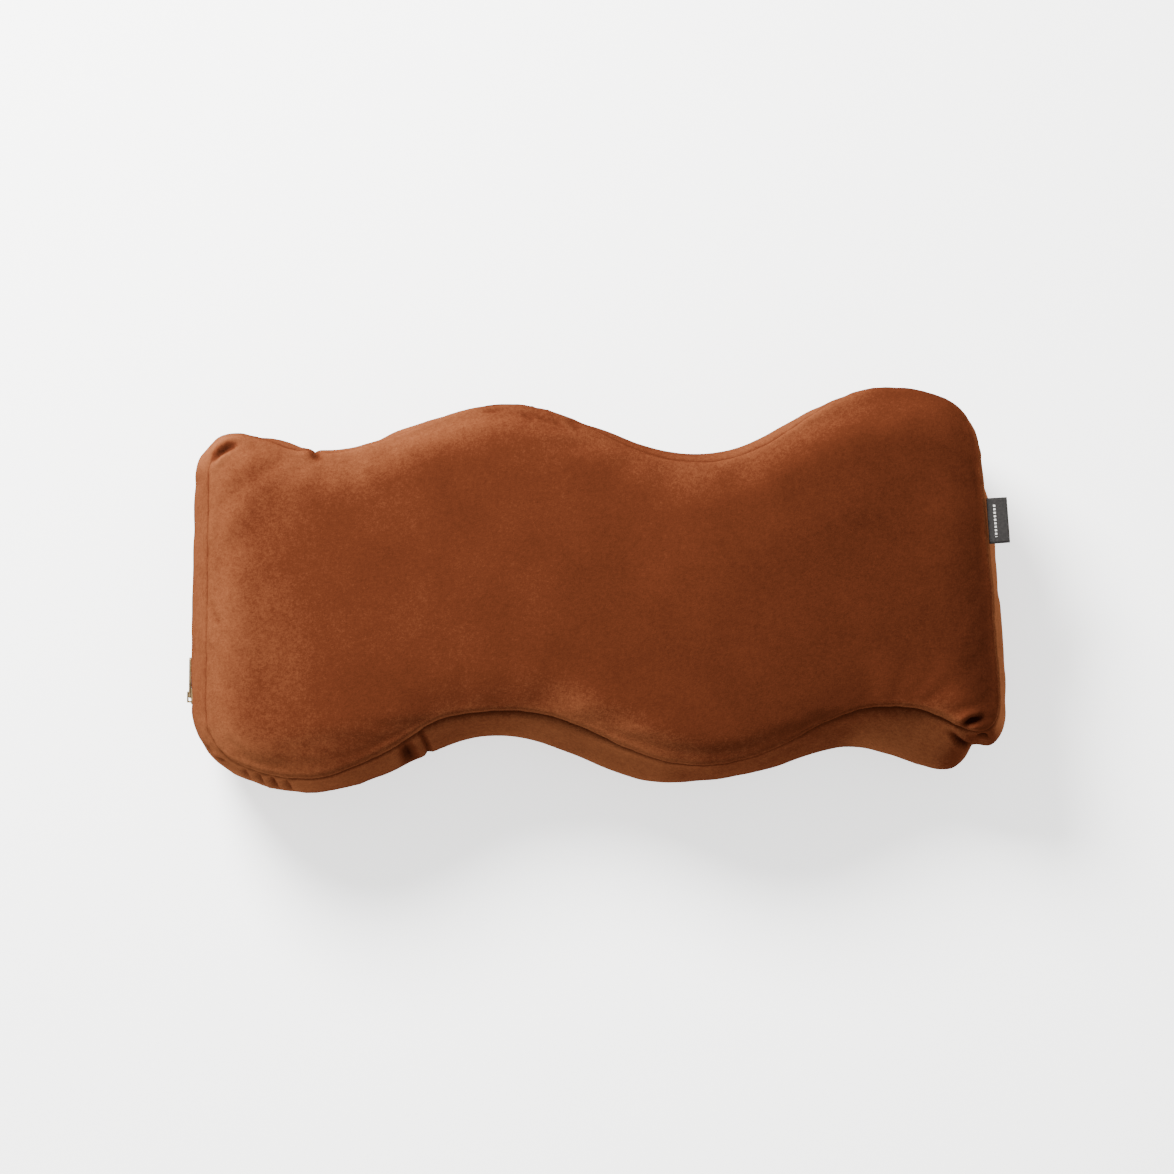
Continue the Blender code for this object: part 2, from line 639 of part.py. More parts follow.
def main():
    """Clear the scene and build every piece."""
    for thing in list(bpy.data.objects):
        bpy.data.objects.remove(thing)
    velvet = (0.30, 0.085, 0.026)
    cotton = (0.80, 0.76, 0.68)
    panel("cover_top_panel", material("velvet_top", velvet, 0.8), 0.0, COVER_CLOTH, 1)
    panel("cover_bottom_panel", material("velvet_bottom", velvet, 0.8), 0.0, COVER_CLOTH, -1)
    main_boxing(material("velvet_main_boxing", velvet, 0.8))
    zip_boxing("cover_zip_boxing_upper", material("velvet_zip_upper", velvet, 0.8), 1)
    zip_boxing("cover_zip_boxing_lower", material("velvet_zip_lower", velvet, 0.8), -1)
    panel("liner_top", material("cotton_top", cotton, 0.9), LINER_INSET, LINER_CLOTH, 1)
    panel("liner_bottom", material("cotton_bottom", cotton, 0.9), LINER_INSET, LINER_CLOTH, -1)
    liner_boxing(material("cotton_boxing", cotton, 0.9))
    foam_core(material("foam", (0.86, 0.82, 0.70), 0.95))
    tape = (0.20, 0.065, 0.025)
    teeth = (0.26, 0.085, 0.032)
    metal = (0.45, 0.33, 0.20)
    zip_tape("zip_tape_upper", material("tape_upper", tape, 0.85), 1)
    zip_tape("zip_tape_lower", material("tape_lower", tape, 0.85), -1)
    zip_teeth("zip_teeth_upper", material("teeth_upper", teeth, 0.4), 1)
    zip_teeth("zip_teeth_lower", material("teeth_lower", teeth, 0.4), -1)
    zip_stop("zip_front_stop", material("front_stop", metal, 0.35, 1.0), -1)
    zip_stop("zip_back_stop", material("back_stop", metal, 0.35, 1.0), 1)
    slider = zip_slider(material("slider", metal, 0.35, 1.0))
    bpy.context.view_layer.update()
    tab = pull_tab(material("pull_tab", metal, 0.35, 1.0))
    tab.location -= slider.location
    tab.parent = slider
    side_label(material("label", (0.034, 0.030, 0.028), 0.7))


main()
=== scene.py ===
"""Camp pillow: the velvet cover, its zip and label, the liner and the foam, on a studio floor."""

import json
import math

import bmesh
import bpy
import numpy as np
from mathutils import Matrix, Vector, bvhtree, kdtree, noise


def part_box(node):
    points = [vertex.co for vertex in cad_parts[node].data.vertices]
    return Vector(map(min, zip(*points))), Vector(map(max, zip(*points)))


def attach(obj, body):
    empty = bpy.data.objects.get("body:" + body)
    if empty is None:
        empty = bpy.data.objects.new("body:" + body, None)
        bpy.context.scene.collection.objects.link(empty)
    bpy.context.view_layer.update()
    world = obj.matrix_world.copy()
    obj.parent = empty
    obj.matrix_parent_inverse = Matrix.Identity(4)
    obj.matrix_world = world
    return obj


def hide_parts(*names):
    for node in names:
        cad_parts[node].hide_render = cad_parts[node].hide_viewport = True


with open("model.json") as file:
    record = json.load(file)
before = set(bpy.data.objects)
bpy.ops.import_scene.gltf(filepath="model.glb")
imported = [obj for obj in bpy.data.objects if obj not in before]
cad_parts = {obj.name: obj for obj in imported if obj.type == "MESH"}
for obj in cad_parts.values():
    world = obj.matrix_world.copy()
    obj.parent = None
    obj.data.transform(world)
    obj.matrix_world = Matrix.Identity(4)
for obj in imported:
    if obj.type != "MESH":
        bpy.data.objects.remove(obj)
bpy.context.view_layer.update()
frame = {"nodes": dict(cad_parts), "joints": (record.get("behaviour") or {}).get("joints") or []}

bl_info = {
    "name": "Camp Pillow",
    "version": (1, 0, 0),
    "blender": (4, 5, 0),
    "location": "View3D > Sidebar > Camp Pillow",
    "description": "Builds a wave-edged camp pillow with a zipped velvet cover",
    "category": "Mesh",
}

# Heights and lengths that the frame gives.
TOP_LOW, TOP_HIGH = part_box("cover_top_panel")
BOTTOM_LOW, BOTTOM_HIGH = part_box("cover_bottom_panel")
TAPE_LOW, TAPE_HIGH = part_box("zip_tape_lower")
UPPER_TAPE_LOW, UPPER_TAPE_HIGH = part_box("zip_tape_upper")
TEETH_LOW, TEETH_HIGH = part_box("zip_teeth_lower")
UPPER_TEETH_LOW, UPPER_TEETH_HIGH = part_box("zip_teeth_upper")
LABEL_LOW, LABEL_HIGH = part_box("side_label")
SEAM_GAP = 0.0003
TOP_SEAM_Z = TOP_LOW.z - SEAM_GAP / 2
BOTTOM_SEAM_Z = BOTTOM_HIGH.z + SEAM_GAP / 2
BOXING_HEIGHT = TOP_SEAM_Z - BOTTOM_SEAM_Z
MIDDLE_Z = (TOP_SEAM_Z + BOTTOM_SEAM_Z) / 2
ZIP_MIDDLE_Y = (TAPE_LOW.y + TAPE_HIGH.y) / 2
ZIP_HALF = (TAPE_HIGH.y - TAPE_LOW.y) / 2
SLOT_HALF = (UPPER_TAPE_HIGH.z - TAPE_LOW.z) / 2 + SEAM_GAP


# ---------------------------------------------------------------- settings

def length(name, description, default):
    """A size in metres."""
    return bpy.props.FloatProperty(name=name, description=description, default=default,
                                   unit="LENGTH", precision=4)


def colour(name, description, default):
    """A linear colour."""
    return bpy.props.FloatVectorProperty(name=name, description=description, default=default,
                                         subtype="COLOR", size=3, min=0.0, max=1.0)


def factor(name, description, default):
    """A share between 0 and 1."""
    return bpy.props.FloatProperty(name=name, description=description, default=default,
                                   subtype="FACTOR", min=0.0, max=1.0)


class PillowSizes(bpy.types.PropertyGroup):
    """Plan sizes of the seam line, the same as the design's."""
    seam_length: length("Seam Length", "Length between the two end seams", 0.459)
    seam_width: length("Seam Width", "Width between the front and back seam", 0.180)
    wave_depth: length("Wave Depth", "Swing of the centre line to each side", 0.0150)
    wave_pitch: length("Wave Pitch", "Length of one whole wave", 0.226)
    corner_reach: length("Corner Reach", "Reach of a rounded corner", 0.027)
    right_flare: length("Right Flare", "Extra half width at the right end", 0.0085)
    left_flare: length("Left Flare", "Extra half width at the left end", 0.0045)
    flare_start: length("Flare Start", "Distance from the middle where the ends widen", 0.075)
    flare_end: length("Flare End", "Distance from the middle of full width", 0.170)
    end_lean: factor("End Lean", "Run of the right end seam for each unit of +Y", 0.060)
    shoulder: length("Shoulder Rise", "Rise of a panel over its shoulder", 0.0138)
    shoulder_run: length("Shoulder Run", "How far in a shoulder reaches", 0.030)
    crown: length("Crown", "Extra rise in the middle of the top panel", 0.0045)
    bulge: length("Boxing Bulge", "Swell of the boxing beyond the seams", 0.0098)
    puff: length("Zip Side Puff", "Extra swell above and below the zip", 0.0050)
    front_notch: length("Front Cross Seam", "X of the front cross seam", -0.1065)
    back_notch: length("Back Cross Seam", "X of the back cross seam", -0.1695)


class PillowCloth(bpy.types.PropertyGroup):
    """Cloth simulation and finish of the cover."""
    pressure: bpy.props.FloatProperty(name="Pressure", default=3.5,
                                      description="Air pressure that fills the cover")
    frames: bpy.props.IntProperty(name="Frames", default=16,
                                  description="Number of simulated frames")
    most_move: length("Most Move", "The furthest a point may move from the pattern", 0.008)
    wrinkles: factor("Wrinkles", "How much of the cloth's short wrinkles to keep", 1.0)
    drift: factor("Drift", "How much of the cloth's slow movement to keep", 0.2)
    cloth_thick: length("Cloth Thickness", "Thickness of the velvet", 0.0012)
    # The velvet's three colours are lit and shaded copies of one cloth: the light one is painted highlight, the dark
    # one painted shade.
    velvet: colour("Velvet", "Colour of the velvet seen along the nap", (0.050, 0.0124, 0.0050))
    velvet_painted_light: colour("Velvet Painted Light", "Colour of the nap that leans to the light",
                         (0.182, 0.064, 0.0260))
    velvet_painted_shade: colour("Velvet Painted Shade", "Colour of the nap that leans away", (0.0110, 0.0026, 0.0012))


class PillowStage(bpy.types.PropertyGroup):
    """Camera and light."""
    distance: length("Camera Distance", "From the camera to the pillow", 2.5)
    tilt: bpy.props.FloatProperty(name="Camera Tilt", subtype="ANGLE", unit="ROTATION",
                                  description="Angle off straight down",
                                  default=math.radians(7.5))
    field: length("Field", "Width of the view at the pillow", 0.698)
    floor: colour("Floor", "Colour of the studio floor", (0.90, 0.90, 0.89))


# ---------------------------------------------------------------- pattern of the seam line

def smooth_step(low, high, value):
    """0 below low, 1 above high, a soft S between them."""
    share = np.clip((value - low) / (high - low), 0.0, 1.0)
    return share * share * (3.0 - 2.0 * share)


# Bulge of the front boxing at places along X, in metres: the foam pushes it out unevenly.
FRONT_SWELL = (
    (-0.210, 0.0095), (-0.183, 0.0072), (-0.160, 0.0070), (-0.130, 0.0080), (-0.112, 0.0076),
    (-0.095, 0.0088), (-0.072, 0.0078), (-0.050, 0.0092), (-0.022, 0.0115), (0.005, 0.0118),
    (0.028, 0.0110), (0.045, 0.0080), (0.060, 0.0055), (0.080, 0.0056), (0.105, 0.0070),
    (0.144, 0.0060), (0.156, 0.0095), (0.168, 0.0140), (0.182, 0.0175), (0.193, 0.0200),
    (0.204, 0.0210), (0.210, 0.0195), (0.216, 0.0120), (0.2215, 0.0012), (0.2250, 0.0030),
    (0.2275, 0.0090))


class Pattern:
    """The seam line and the cloth form that stands on it."""

    def __init__(self, sizes):
        self.sizes = sizes
        self.half = sizes.seam_length / 2
        zip_y = (self.corner(-1, -1)[2][1] + self.corner(-1, 1)[2][1]) / 2
        self.shift = np.array((TOP_LOW.x + self.half, ZIP_MIDDLE_Y - zip_y))
        sides = [self.side(-1), self.end(1), self.side(1)[::-1], self.end(-1)[::-1]]
        loop = np.concatenate([line[:-1] for line in sides] + [sides[0][:1]]) + self.shift
        self.loop = loop
        self.reach = np.concatenate(([0.0], np.cumsum(np.linalg.norm(np.diff(loop, axis=0), axis=1))))
        marks = np.cumsum([0] + [len(line) - 1 for line in sides])
        self.marks = self.reach[marks]
        self.length = self.marks[1]
        self.width = self.marks[4] - self.marks[3]

    def centre(self, x):
        return -self.sizes.wave_depth * np.sin(2 * np.pi * x / self.sizes.wave_pitch)

    def side_line(self, x, sign):
        s = self.sizes
        flare = s.right_flare * smooth_step(s.flare_start, s.flare_end, x)
        flare = flare + s.left_flare * smooth_step(s.flare_start, s.flare_end, -x)
        return self.centre(x) + sign * (s.seam_width / 2 + flare)

    def end_x(self, end, y):
        lean = self.sizes.end_lean if end > 0 else 0.0
        return end * self.half - lean * (y - self.centre(end * self.half))

    def corner(self, end, sign):
        """The start, tip and finish of a corner's curve, from the side to the end seam."""
        reach = self.sizes.corner_reach
        x = end * (self.half - reach)
        start = np.array((x, self.side_line(x, sign)))
        step = 0.0002
        slope = (self.side_line(x + step, sign) - self.side_line(x - step, sign)) / (2 * step)
        tip_y = start[1] + slope * (self.end_x(end, start[1]) - x)
        tip = np.array((self.end_x(end, tip_y), tip_y))
        finish_y = tip_y - sign * reach
        return start, tip, np.array((self.end_x(end, finish_y), finish_y))

    def arc(self, end, sign, shares):
        start, tip, finish = self.corner(end, sign)
        t = np.asarray(shares)[:, None]
        return (1 - t) ** 2 * start + 2 * (1 - t) * t * tip + t * t * finish

    def side(self, sign):
        """A wavy side from the middle of its left corner to the middle of its right one."""
        reach = self.half - self.sizes.corner_reach
        x = np.linspace(-reach, reach, 600)
        wave = np.stack((x, self.side_line(x, sign)), axis=1)
        left = self.arc(-1, sign, np.linspace(0.5, 0.0, 30)[:-1])
        right = self.arc(1, sign, np.linspace(0.0, 0.5, 30)[1:])
        return np.concatenate((left, wave, right))

    def end(self, end):
        """An end from the middle of its front corner to the middle of its back one."""
        low = self.arc(end, -1, np.linspace(0.5, 1.0, 30)[:-1])
        high = self.arc(end, 1, np.linspace(1.0, 0.5, 30)[1:])
        y = np.linspace(self.corner(end, -1)[2][1], self.corner(end, 1)[2][1], 200)
        line = np.stack((self.end_x(end, y), y), axis=1)
        return np.concatenate((low, line, high))

    def at(self, reach, drawn=0.0):
        """Points of the seam line at distances along it from the front left corner.

        Drawn is 0 for the bottom seam and 1 for the top one, which the cloth pulls out of line.
        """
        reach = np.mod(reach, self.reach[-1])
        places = [np.interp(reach, self.reach, self.loop[:, k]) for k in (0, 1)]
        places[1] = places[1] + drawn * self.drawn(*places) + (1 - drawn) * self.tucked(*places)
        return np.stack(places, axis=-1)

    def drawn(self, x, y):
        """How far the top seam is pulled towards +Y at places on the seam line."""
        def swell(middle, width, reach):
            return reach * np.exp(-((x - middle) / width) ** 2)
        right = 0.0130 * smooth_step(0.085, 0.160, x) - 0.0060 * smooth_step(0.185, 0.226, x)
        left = swell(-0.094, 0.017, 0.0045) + swell(-0.018, 0.045, 0.0034)
        crest = -0.0030 * smooth_step(-0.125, -0.175, x)
        back = swell(-0.045, 0.060, 0.0048) + 0.0060 * smooth_step(0.080, 0.150, x)
        back = back - 0.0035 * smooth_step(0.195, 0.226, x) + swell(-0.198, 0.026, 0.0050)
        share = smooth_step(-0.02, 0.02, y - self.centre(x - self.shift[0]))
        return (right + left + crest) * (1 - share) + back * share

    def tucked(self, x, y):
        """How far the bottom seam's right front corner is tucked in towards +Y."""
        return 0.0065 * smooth_step(0.203, 0.224, x) * smooth_step(-0.02, -0.06, y - self.centre(x))

    def edge_reach(self, u, v):
        """Distance along the seam line for places on the edge of the unit square."""
        zero, front, right, back, left = self.marks
        reach = np.where(v <= 0, u * front, 0.0)
        reach = np.where((u >= 1) & (v > 0), front + v * (right - front), reach)
        reach = np.where((v >= 1) & (u < 1), right + (1 - u) * (back - right), reach)
        return np.where((u <= 0) & (v > 0) & (v < 1), back + (1 - v) * (left - back), reach)

    def outward(self, reach, drawn=0.0, step=0.004):
        """Horizontal normal of the seam line."""
        along = self.at(reach + step, drawn) - self.at(reach - step, drawn)
        along /= np.linalg.norm(along, axis=1)[:, None]
        return np.stack((along[:, 1], -along[:, 0]), axis=1)

    def inside(self, u, v, drawn):
        """Plan place over a panel for places in the unit square."""
        one, zero = np.ones_like(u), np.zeros_like(u)

        def edge(u, v):
            return self.at(self.edge_reach(u, v), drawn)
        front, back = edge(u, zero), edge(u, one)
        left, right = edge(zero, v), edge(one, v)
        corners = [edge(a, b) for a in (zero, one) for b in (zero, one)]
        u, v = u[:, None], v[:, None]
        flat = (1 - v) * front + v * back + (1 - u) * left + u * right
        flat -= (1 - u) * (1 - v) * corners[0] + (1 - u) * v * corners[1]
        return flat - u * (1 - v) * corners[2] - u * v * corners[3]

    def lift(self, u, v):
        """Rise of a panel over its seams: a rounded shoulder, then a slow crown."""
        def shoulder(distance):
            share = np.clip(distance / self.sizes.shoulder_run, 0.0, 1.0)
            return np.sqrt(1.0 - (1.0 - share) ** 2)
        lift = shoulder(np.minimum(u, 1 - u) * self.length)
        lift = lift * shoulder(np.minimum(v, 1 - v) * self.width)
        swell = np.sin(np.pi * u) * np.sin(np.pi * v)
        return lift * (self.sizes.shoulder + self.sizes.crown * swell)

    def swell(self, point, share):
        """Bulge of the boxing: fuller in the hollows of the wave, leaner on its crests."""
        s = self.sizes
        x, y = point[:, 0] - self.shift[0], point[:, 1] - self.shift[1]
        near_end = smooth_step(self.half - 0.05, self.half - 0.01, np.abs(x))
        lean = np.sign(y) * self.centre(x) / s.wave_depth * (1 - near_end)
        corner = near_end * smooth_step(0.045, 0.075, np.abs(y - self.centre(x)))
        zipped = smooth_step(-self.half + 0.03, -self.half, x)
        plain = s.bulge * (0.84 - 0.20 * lean)
        plain = plain - 0.0042 * smooth_step(-0.115, -0.145, x) * smooth_step(-0.195, -0.165, x)
        plain = np.where(y - self.centre(x) < 0, np.interp(x, *zip(*FRONT_SWELL)), plain)
        plain = plain * (1 - np.where(x > 0, np.where(y < 0, 0.20, 0.85), 0.38) * corner)
        zipped = zipped * (1 - 0.6 * smooth_step(ZIP_HALF, ZIP_HALF + 0.028, np.abs(point[:, 1] - ZIP_MIDDLE_Y)))
        full = plain + (s.bulge - plain) * zipped
        lip = SLOT_HALF / BOXING_HEIGHT
        beyond = np.clip((np.abs(share - 0.5) - lip) / (0.5 - lip), 0.0, 1.0)
        return full * np.sin(np.pi * share) + s.puff * zipped * np.sin(np.pi * beyond) ** 2


def graded(steps, gather):
    """Shares from 0 to 1 that lie closer together near both ends."""
    t = np.arange(steps + 1) / steps
    return t - gather * np.sin(2 * np.pi * t) / (2 * np.pi)


# ---------------------------------------------------------------- cover form

LONG_STEPS, SHORT_STEPS = 112, 50
SIDE_ROWS, SLOT_ROWS = 8, 4
TOP, BOTTOM, MAIN, ZIP_UPPER, ZIP_LOWER, SLOT = range(6)


def row_shares():
    """Heights of the boxing's rows as shares, with a row on each edge of the zip slot."""
    slot = SLOT_HALF / BOXING_HEIGHT
    t = np.arange(SIDE_ROWS + 1) / SIDE_ROWS
    outer = (0.5 - slot) * (t - 0.35 * np.sin(np.pi * t) / np.pi)
    middle = np.linspace(0.5 - slot, 0.5 + slot, SLOT_ROWS + 1)[1:-1]
    return np.concatenate((outer, middle, 1 - outer[::-1]))


def box_form():
    """A closed box counted in whole steps: a grid on top, rows of boxing and a grid below."""
    form = bmesh.new()
    bmesh.ops.create_grid(form, x_segments=LONG_STEPS, y_segments=SHORT_STEPS, size=1.0)
    levels = len(row_shares()) - 1
    for vert in form.verts:
        vert.co.x = round((vert.co.x + 1) / 2 * LONG_STEPS)
        vert.co.y = round((vert.co.y + 1) / 2 * SHORT_STEPS)
        vert.co.z = levels
    twin = bmesh.ops.duplicate(form, geom=form.faces[:])["geom"]
    floor_verts = [item for item in twin if isinstance(item, bmesh.types.BMVert)]
    floor_faces = [item for item in twin if isinstance(item, bmesh.types.BMFace)]
    bmesh.ops.translate(form, verts=floor_verts, vec=(0, 0, -levels))
    bmesh.ops.reverse_faces(form, faces=floor_faces)
    rim = [edge for edge in form.edges if edge.is_boundary and edge.verts[0].co.z > 0]
    for _ in range(levels):
        made = bmesh.ops.extrude_edge_only(form, edges=rim)["geom"]
        fresh = {item for item in made if isinstance(item, bmesh.types.BMVert)}
        rim = [item for item in made if isinstance(item, bmesh.types.BMEdge)]
        rim = [edge for edge in rim if all(vert in fresh for vert in edge.verts)]
        bmesh.ops.translate(form, verts=list(fresh), vec=(0, 0, -1))
    bmesh.ops.remove_doubles(form, verts=form.verts, dist=0.01)
    bmesh.ops.recalc_face_normals(form, faces=form.faces)
    return form


class CoverForm:
    """The cover as one closed form, with a note on each face of the cloth it belongs to."""

    def __init__(self, pattern):
        self.pattern = pattern
        form = box_form()
        form.verts.ensure_lookup_table()
        steps = np.array([vert.co for vert in form.verts])
        self.levels = row_shares()
        self.u = graded(LONG_STEPS, 0.5)[steps[:, 0].astype(int)]
        self.v = graded(SHORT_STEPS, 0.5)[steps[:, 1].astype(int)]
        self.height = self.levels[steps[:, 2].astype(int)]
        self.level = steps[:, 2].astype(int)
        self.on_edge = (self.u <= 0) | (self.u >= 1) | (self.v <= 0) | (self.v >= 1)
        self.reach = pattern.edge_reach(self.u, self.v)
        self.points = self.placed()
        self.note_faces(form)
        for vert, place in zip(form.verts, self.points):
            vert.co = place
        mesh = bpy.data.meshes.new("cover_form")
        form.to_mesh(mesh)
        form.free()
        self.thing = bpy.data.objects.new("cover_form", mesh)
        bpy.context.scene.collection.objects.link(self.thing)
        self.thing.hide_render = True

    def placed(self):
        """Every point's place on the pattern."""
        pattern = self.pattern
        top = self.level == len(self.levels) - 1
        flat = pattern.inside(self.u, self.v, top * 1.0)
        lift = pattern.lift(self.u, self.v)
        z = np.where(top, TOP_SEAM_Z + lift, BOTTOM_SEAM_Z - lift * BOTTOM_SEAM_Z / self.deepest())
        panel = np.column_stack((flat, np.maximum(z, 0.0)))
        drawn = smooth_step(0.0, 1.0, self.height)
        edge = pattern.at(self.reach, drawn)
        out = pattern.outward(self.reach, drawn) * pattern.swell(edge, self.height)[:, None]
        boxing = np.column_stack((edge + out, BOTTOM_SEAM_Z + BOXING_HEIGHT * self.height))
        return np.where(self.on_edge[:, None], boxing, panel)

    def deepest(self):
        return self.pattern.sizes.shoulder * 1.02

    def cross_reach(self, sign, x):
        """Where along the seam line a cross seam stands."""
        reach = np.linspace(0, self.pattern.reach[-1], 4000, endpoint=False)
        places = self.pattern.at(reach)
        side = np.sign(places[:, 1] - self.pattern.centre(places[:, 0])) == sign
        off = np.abs(places[:, 0] - x) + np.where(side, 0.0, 1.0)
        return reach[np.argmin(off)]

    def note_faces(self, form):
        """Writes on every face which piece of cloth it is cut from."""
        sizes = self.pattern.sizes
        layer = form.faces.layers.int.new("cloth")
        self.front_cross = self.cross_reach(-1, sizes.front_notch)
        self.back_cross = self.cross_reach(1, sizes.back_notch)
        levels = len(self.levels) - 1
        middle = levels / 2
        for face in form.faces:
            index = [vert.index for vert in face.verts]
            level = np.mean(self.level[index])
            if level >= levels:
                face[layer] = TOP
            elif level <= 0 and not self.on_edge[index].all():
                face[layer] = BOTTOM
            elif not self.on_edge[index].all():
                face[layer] = BOTTOM
            else:
                face[layer] = self.boxing_cloth(index, level, middle)

    def boxing_cloth(self, index, level, middle):
        reach = self.reach[index]
        if reach.max() - reach.min() > 0.1:
            reach = np.where(reach < 0.1, reach + self.pattern.reach[-1], reach)
        reach = np.mod(reach.mean(), self.pattern.reach[-1])
        if self.front_cross < reach < self.back_cross:
            return MAIN
        y = self.points[index][:, 1].mean() - ZIP_MIDDLE_Y
        on_end = self.u[index].max() <= 0
        if on_end and abs(y) < ZIP_HALF + 0.001 and abs(level - middle) < SLOT_ROWS / 2:
            return SLOT
        return ZIP_UPPER if level > middle else ZIP_LOWER


def coordinates(mesh):
    """Places of a mesh's vertices."""
    flat = np.empty(len(mesh.vertices) * 3)
    mesh.vertices.foreach_get("co", flat)
    return flat.reshape(-1, 3)


def normals(mesh):
    """Directions of a mesh's vertices."""
    flat = np.empty(len(mesh.vertices) * 3)
    mesh.vertices.foreach_get("normal", flat)
    return flat.reshape(-1, 3)


def set_coordinates(mesh, points):
    mesh.vertices.foreach_set("co", points.astype(np.float32).ravel())
    mesh.update()


def averaged(mesh, values, rounds):
    """Values on the vertices, each averaged with its neighbours' a number of times."""
    flat = np.empty(len(mesh.edges) * 2, int)
    mesh.edges.foreach_get("vertices", flat)
    a, b = flat.reshape(-1, 2).T
    count = np.bincount(flat, minlength=len(values))[:, None]
    for _ in range(rounds):
        total = np.zeros_like(values)
        for k in range(values.shape[1]):
            total[:, k] = (np.bincount(a, values[b, k], len(values))
                           + np.bincount(b, values[a, k], len(values)))
        values = 0.4 * values + 0.6 * total / count
    return values


def filled(form, cloth):
    """Fills the cover with air, holds its seams and slot, and keeps how far each point moved."""
    thing, pattern = form.thing, form.pattern
    held = thing.vertex_groups.new(name="held")
    gathered = thing.vertex_groups.new(name="gathered")
    levels = len(form.levels) - 1
    from_seam = np.minimum(form.height, 1 - form.height) * BOXING_HEIGHT
    at_slot = (form.u <= 0) & (np.abs(form.height - 0.5) * BOXING_HEIGHT < SLOT_HALF + 0.004)
    panel_edge = np.minimum(np.minimum(form.u, 1 - form.u) * pattern.length,
                            np.minimum(form.v, 1 - form.v) * pattern.width)
    near = np.where(form.on_edge, from_seam, panel_edge)
    under = (form.level == 0) & (panel_edge > 0.02)
    hold = np.where(at_slot | under, 1.0, 0.05 + 0.90 * np.exp(-(near / 0.003) ** 2))
    gather = np.exp(-(near / 0.010) ** 2)
    for index in range(len(hold)):
        held.add([index], float(hold[index]), "REPLACE")
        gathered.add([index], float(gather[index]), "REPLACE")
    modifier = thing.modifiers.new("fill", "CLOTH")
    set_ = modifier.settings
    set_.quality = 6
    set_.mass = 0.25
    set_.tension_stiffness = set_.compression_stiffness = 12
    set_.shear_stiffness = 4
    set_.bending_stiffness = 0.12
    set_.use_pressure = True
    set_.uniform_pressure_force = cloth.pressure
    set_.vertex_group_mass = "held"
    set_.pin_stiffness = 1.0
    set_.vertex_group_shrink = "gathered"
    set_.shrink_min = -0.02
    set_.shrink_max = 0.06
    set_.effector_weights.gravity = 0.0
    modifier.collision_settings.use_collision = False
    modifier.point_cache.frame_start = 1
    modifier.point_cache.frame_end = cloth.frames
    scene = bpy.context.scene
    for step in range(1, cloth.frames + 1):
        scene.frame_set(step)
    graph = bpy.context.evaluated_depsgraph_get()
    moved = coordinates(thing.evaluated_get(graph).to_mesh())
    thing.evaluated_get(graph).to_mesh_clear()
    thing.modifiers.remove(modifier)
    scene.frame_set(1)
    step = moved - form.points
    slow = averaged(thing.data, step, 40)
    short = np.where(form.on_edge, 0.1 + 0.5 * smooth_step(0.45, 0.9, form.height),
                     0.05 + 0.75 * np.exp(-(panel_edge / 0.020) ** 2))
    step = cloth.wrinkles * short[:, None] * (step - slow) + cloth.drift * slow
    reach = np.linalg.norm(step, axis=1)[:, None]
    step *= cloth.most_move / (cloth.most_move + reach)
    step[at_slot] = 0.0
    form.points = form.points + step
    form.points[:, 2] = np.maximum(form.points[:, 2], 0.0)
    set_coordinates(thing.data, form.points)


def finer(thing):
    """One Catmull-Clark subdivision, kept in the mesh."""
    modifier = thing.modifiers.new("finer", "SUBSURF")
    modifier.levels = modifier.render_levels = 1
    graph = bpy.context.evaluated_depsgraph_get()
    mesh = bpy.data.meshes.new_from_object(thing.evaluated_get(graph))
    thing.modifiers.remove(modifier)
    thing.data = mesh


def near_line(points, direction, line):
    """For each point: distance from a line as seen along its own direction, the share of the
    line's length, and the side of the line it lies on."""
    best = np.full(len(points), 9.0)
    share = np.zeros(len(points))
    side = np.zeros(len(points))
    line = np.asarray(line, float)
    steps = np.linalg.norm(np.diff(line, axis=0), axis=1)
    reach = np.concatenate(([0.0], np.cumsum(steps)))
    for k, (a, b) in enumerate(zip(line[:-1], line[1:])):
        along = (b - a) / steps[k]
        t = np.clip((points - a) @ along, 0.0, steps[k])
        off = points - (a + t[:, None] * along)
        high = np.einsum("ij,ij->i", off, direction)
        flat = off - direction * high[:, None]
        far = np.linalg.norm(flat, axis=1) + np.where(np.abs(high) > 0.012, 9.0, 0.0)
        nearer = far < best
        best = np.where(nearer, far, best)
        share = np.where(nearer, (reach[k] + t) / reach[-1], share)
        turn = np.einsum("ij,ij->i", np.cross(along, flat), direction)
        side = np.where(nearer, np.sign(turn), side)
    return best, share, side


def note(thing, name, values):
    """Keeps a number on each vertex."""
    attribute = thing.data.attributes.get(name) or thing.data.attributes.new(name, "FLOAT", "POINT")
    attribute.data.foreach_set("value", values.astype(np.float32))


def noted(thing, name):
    values = np.empty(len(thing.data.vertices), np.float32)
    thing.data.attributes[name].data.foreach_get("value", values)
    return values.astype(float)




